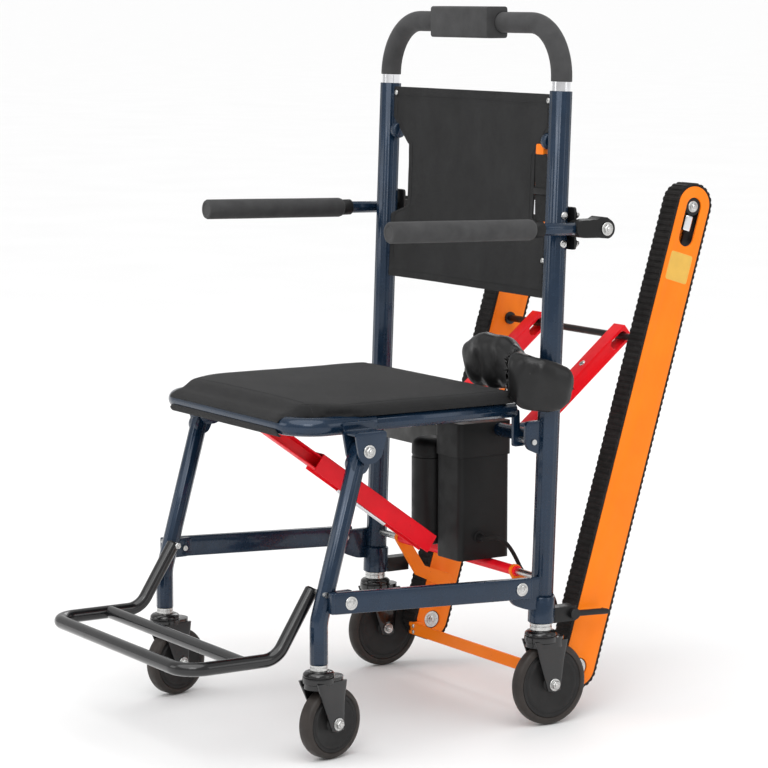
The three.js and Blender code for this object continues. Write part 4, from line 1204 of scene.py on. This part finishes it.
def track_links():
    inner = TRACK_X - TRACK_HALF - 0.3
    shell = Shell()
    bar = soft([(250, 55.4), (254.8, 55.4), (254.8, 73.6), (250, 73.6)], 1.4, 3)
    shell.side([bar], -inner, inner, 0.4)
    for s in (1, -1):
        tab = soft([(250, 56.4), (271.6, 56.4), (271.6, 72.6), (250, 72.6)], 4)
        shell.side([tab], *span(s, inner - 4, inner), 0.7)
    shell.make("track_tie", "orange", "tracks", "track_cross_bar")
    shell = Shell()
    for s in (1, -1):
        for z in (60, 69):
            shell.dome(at(s * (inner - 12), 249.8, z), at(0, -1, 0), 3.2, 1.6)
    shell.make("track_tie_screws", "zinc", "tracks")
    for label, s in sides():
        shell = Shell()
        arm = (arc(TRACK_HINGE, 9.2, 30, 215, 12) + [(247, 152)] + [(292, 131)]
               + arc(TRACK_FOOT, 10, 250, 450, 12) + [(262, 165)])
        shell.side([arm], *span(s, 150.2, 155.8), 1.0)
        shell.lathe([(0, 8), (20.5, 8)], at(s * 155.5, *TRACK_FOOT), X_AXIS * s, 28)
        shell.make(f"hinge_arm_{label}", "orange", "tracks")
    shell = Shell().lathe([(-160, 5.4), (-160, 6.8), (-159, 7.6), (159, 7.6), (160, 6.8), (160, 5.4)],
                          at(0, *TRACK_HINGE), X_AXIS, 36)
    shell.make("hinge_tube", "red", "tracks", "track_hinge_frame")
    low, high = Vector(STRUT_LOW), Vector(STRUT_HIGH)
    along = at(0, high.x - low.x, high.y - low.y)
    length = along.length
    along.normalize()
    up = X_AXIS.cross(along)
    for label, s in sides():
        x0, x1 = span(s, 92.2, 117.8)
        outline = soft([(-11, -11.8), (length + 13, -11.8), (length + 13, 11.8), (-11, 11.8)], 1.5, 3)
        hole = arc((0, 0), 5.6, 0, 360, 24)[:-1]
        slot = link((length - 18, 0), (length, 0), 7.6, 12)
        shell = Shell().prism([outline, hole, slot], at(x0, *STRUT_LOW), along, up, at(x1 - x0, 0, 0), 1.6, 3)
        shell.make(f"strut_{label}", "red", "track_struts", f"track_strut_{label}")
        shell = Shell()
        for share in (0.42, 0.62):
            place = at(s * 105, low.x, low.y) + along * (length * share) + up * 11.7
            shell.dome(place, up, 5, 2.2)
        shell.make(f"strut_rivets_{label}", "zinc", "track_struts")


# ---- floor, light and world
FLOOR_REACH = 700
LIT_PLACE = Vector((0, 0, 0.45))


def studio():
    """A pale floor, an even sky and four soft lights; lengths here are metres."""
    mesh = bpy.data.meshes.new("floor")
    corners = [(x * FLOOR_REACH, y * FLOOR_REACH, 0) for x, y in ((-1, -1), (1, -1), (1, 1), (-1, 1))]
    mesh.from_pydata(corners, [], [(0, 1, 2, 3)])
    look = Look("floor", (0.86, 0.86, 0.86), 0.7)
    look.mottle(2, 0.01).uneven(3, 0.05)
    mesh.materials.append(look.material)
    floor = bpy.data.objects.new("floor", mesh)
    floor.location = (0, 0, -0.0005)
    scene.collection.objects.link(floor)
    world = bpy.data.worlds.new("world")
    world.use_nodes = True
    world.node_tree.nodes["Background"].inputs["Color"].default_value = (1, 1, 1, 1)
    world.node_tree.nodes["Background"].inputs["Strength"].default_value = 0.6
    scene.world = world
    data = bpy.data.lights.new("sky", "SUN")
    data.energy = 2.05
    data.angle = math.radians(70)
    light = bpy.data.objects.new("sky", data)
    light.rotation_euler = (math.radians(20), math.radians(14), 0)
    scene.collection.objects.link(light)
    for name, place, size, power in (
        ("key", (2.9, -2.4, 2.6), 1.6, 26), ("fill", (3.4, 2.0, 1.8), 1.8, 12),
        ("front", (-1.6, -3.8, 1.8), 1.6, 14), ("rim", (-2.8, 2.8, 2.4), 1.6, 18),
    ):
        data = bpy.data.lights.new(name, "AREA")
        data.size = size
        data.energy = power
        light = bpy.data.objects.new(name, data)
        light.location = place
        light.rotation_euler = (LIT_PLACE - Vector(place)).to_track_quat("-Z", "Y").to_euler()
        scene.collection.objects.link(light)


studio()
main_frame()
push_handle()
lock_knobs()
armrests()
back_cloth()
stowed_strap()
seat_frame()
seat_cloth()
belt_pad()
brace()
drive_unit()
legs()
for kind_name in CASTERS:
    for side_label, side_sign in sides():
        caster(kind_name, side_label, side_sign)
brakes()
tracks()
track_links()
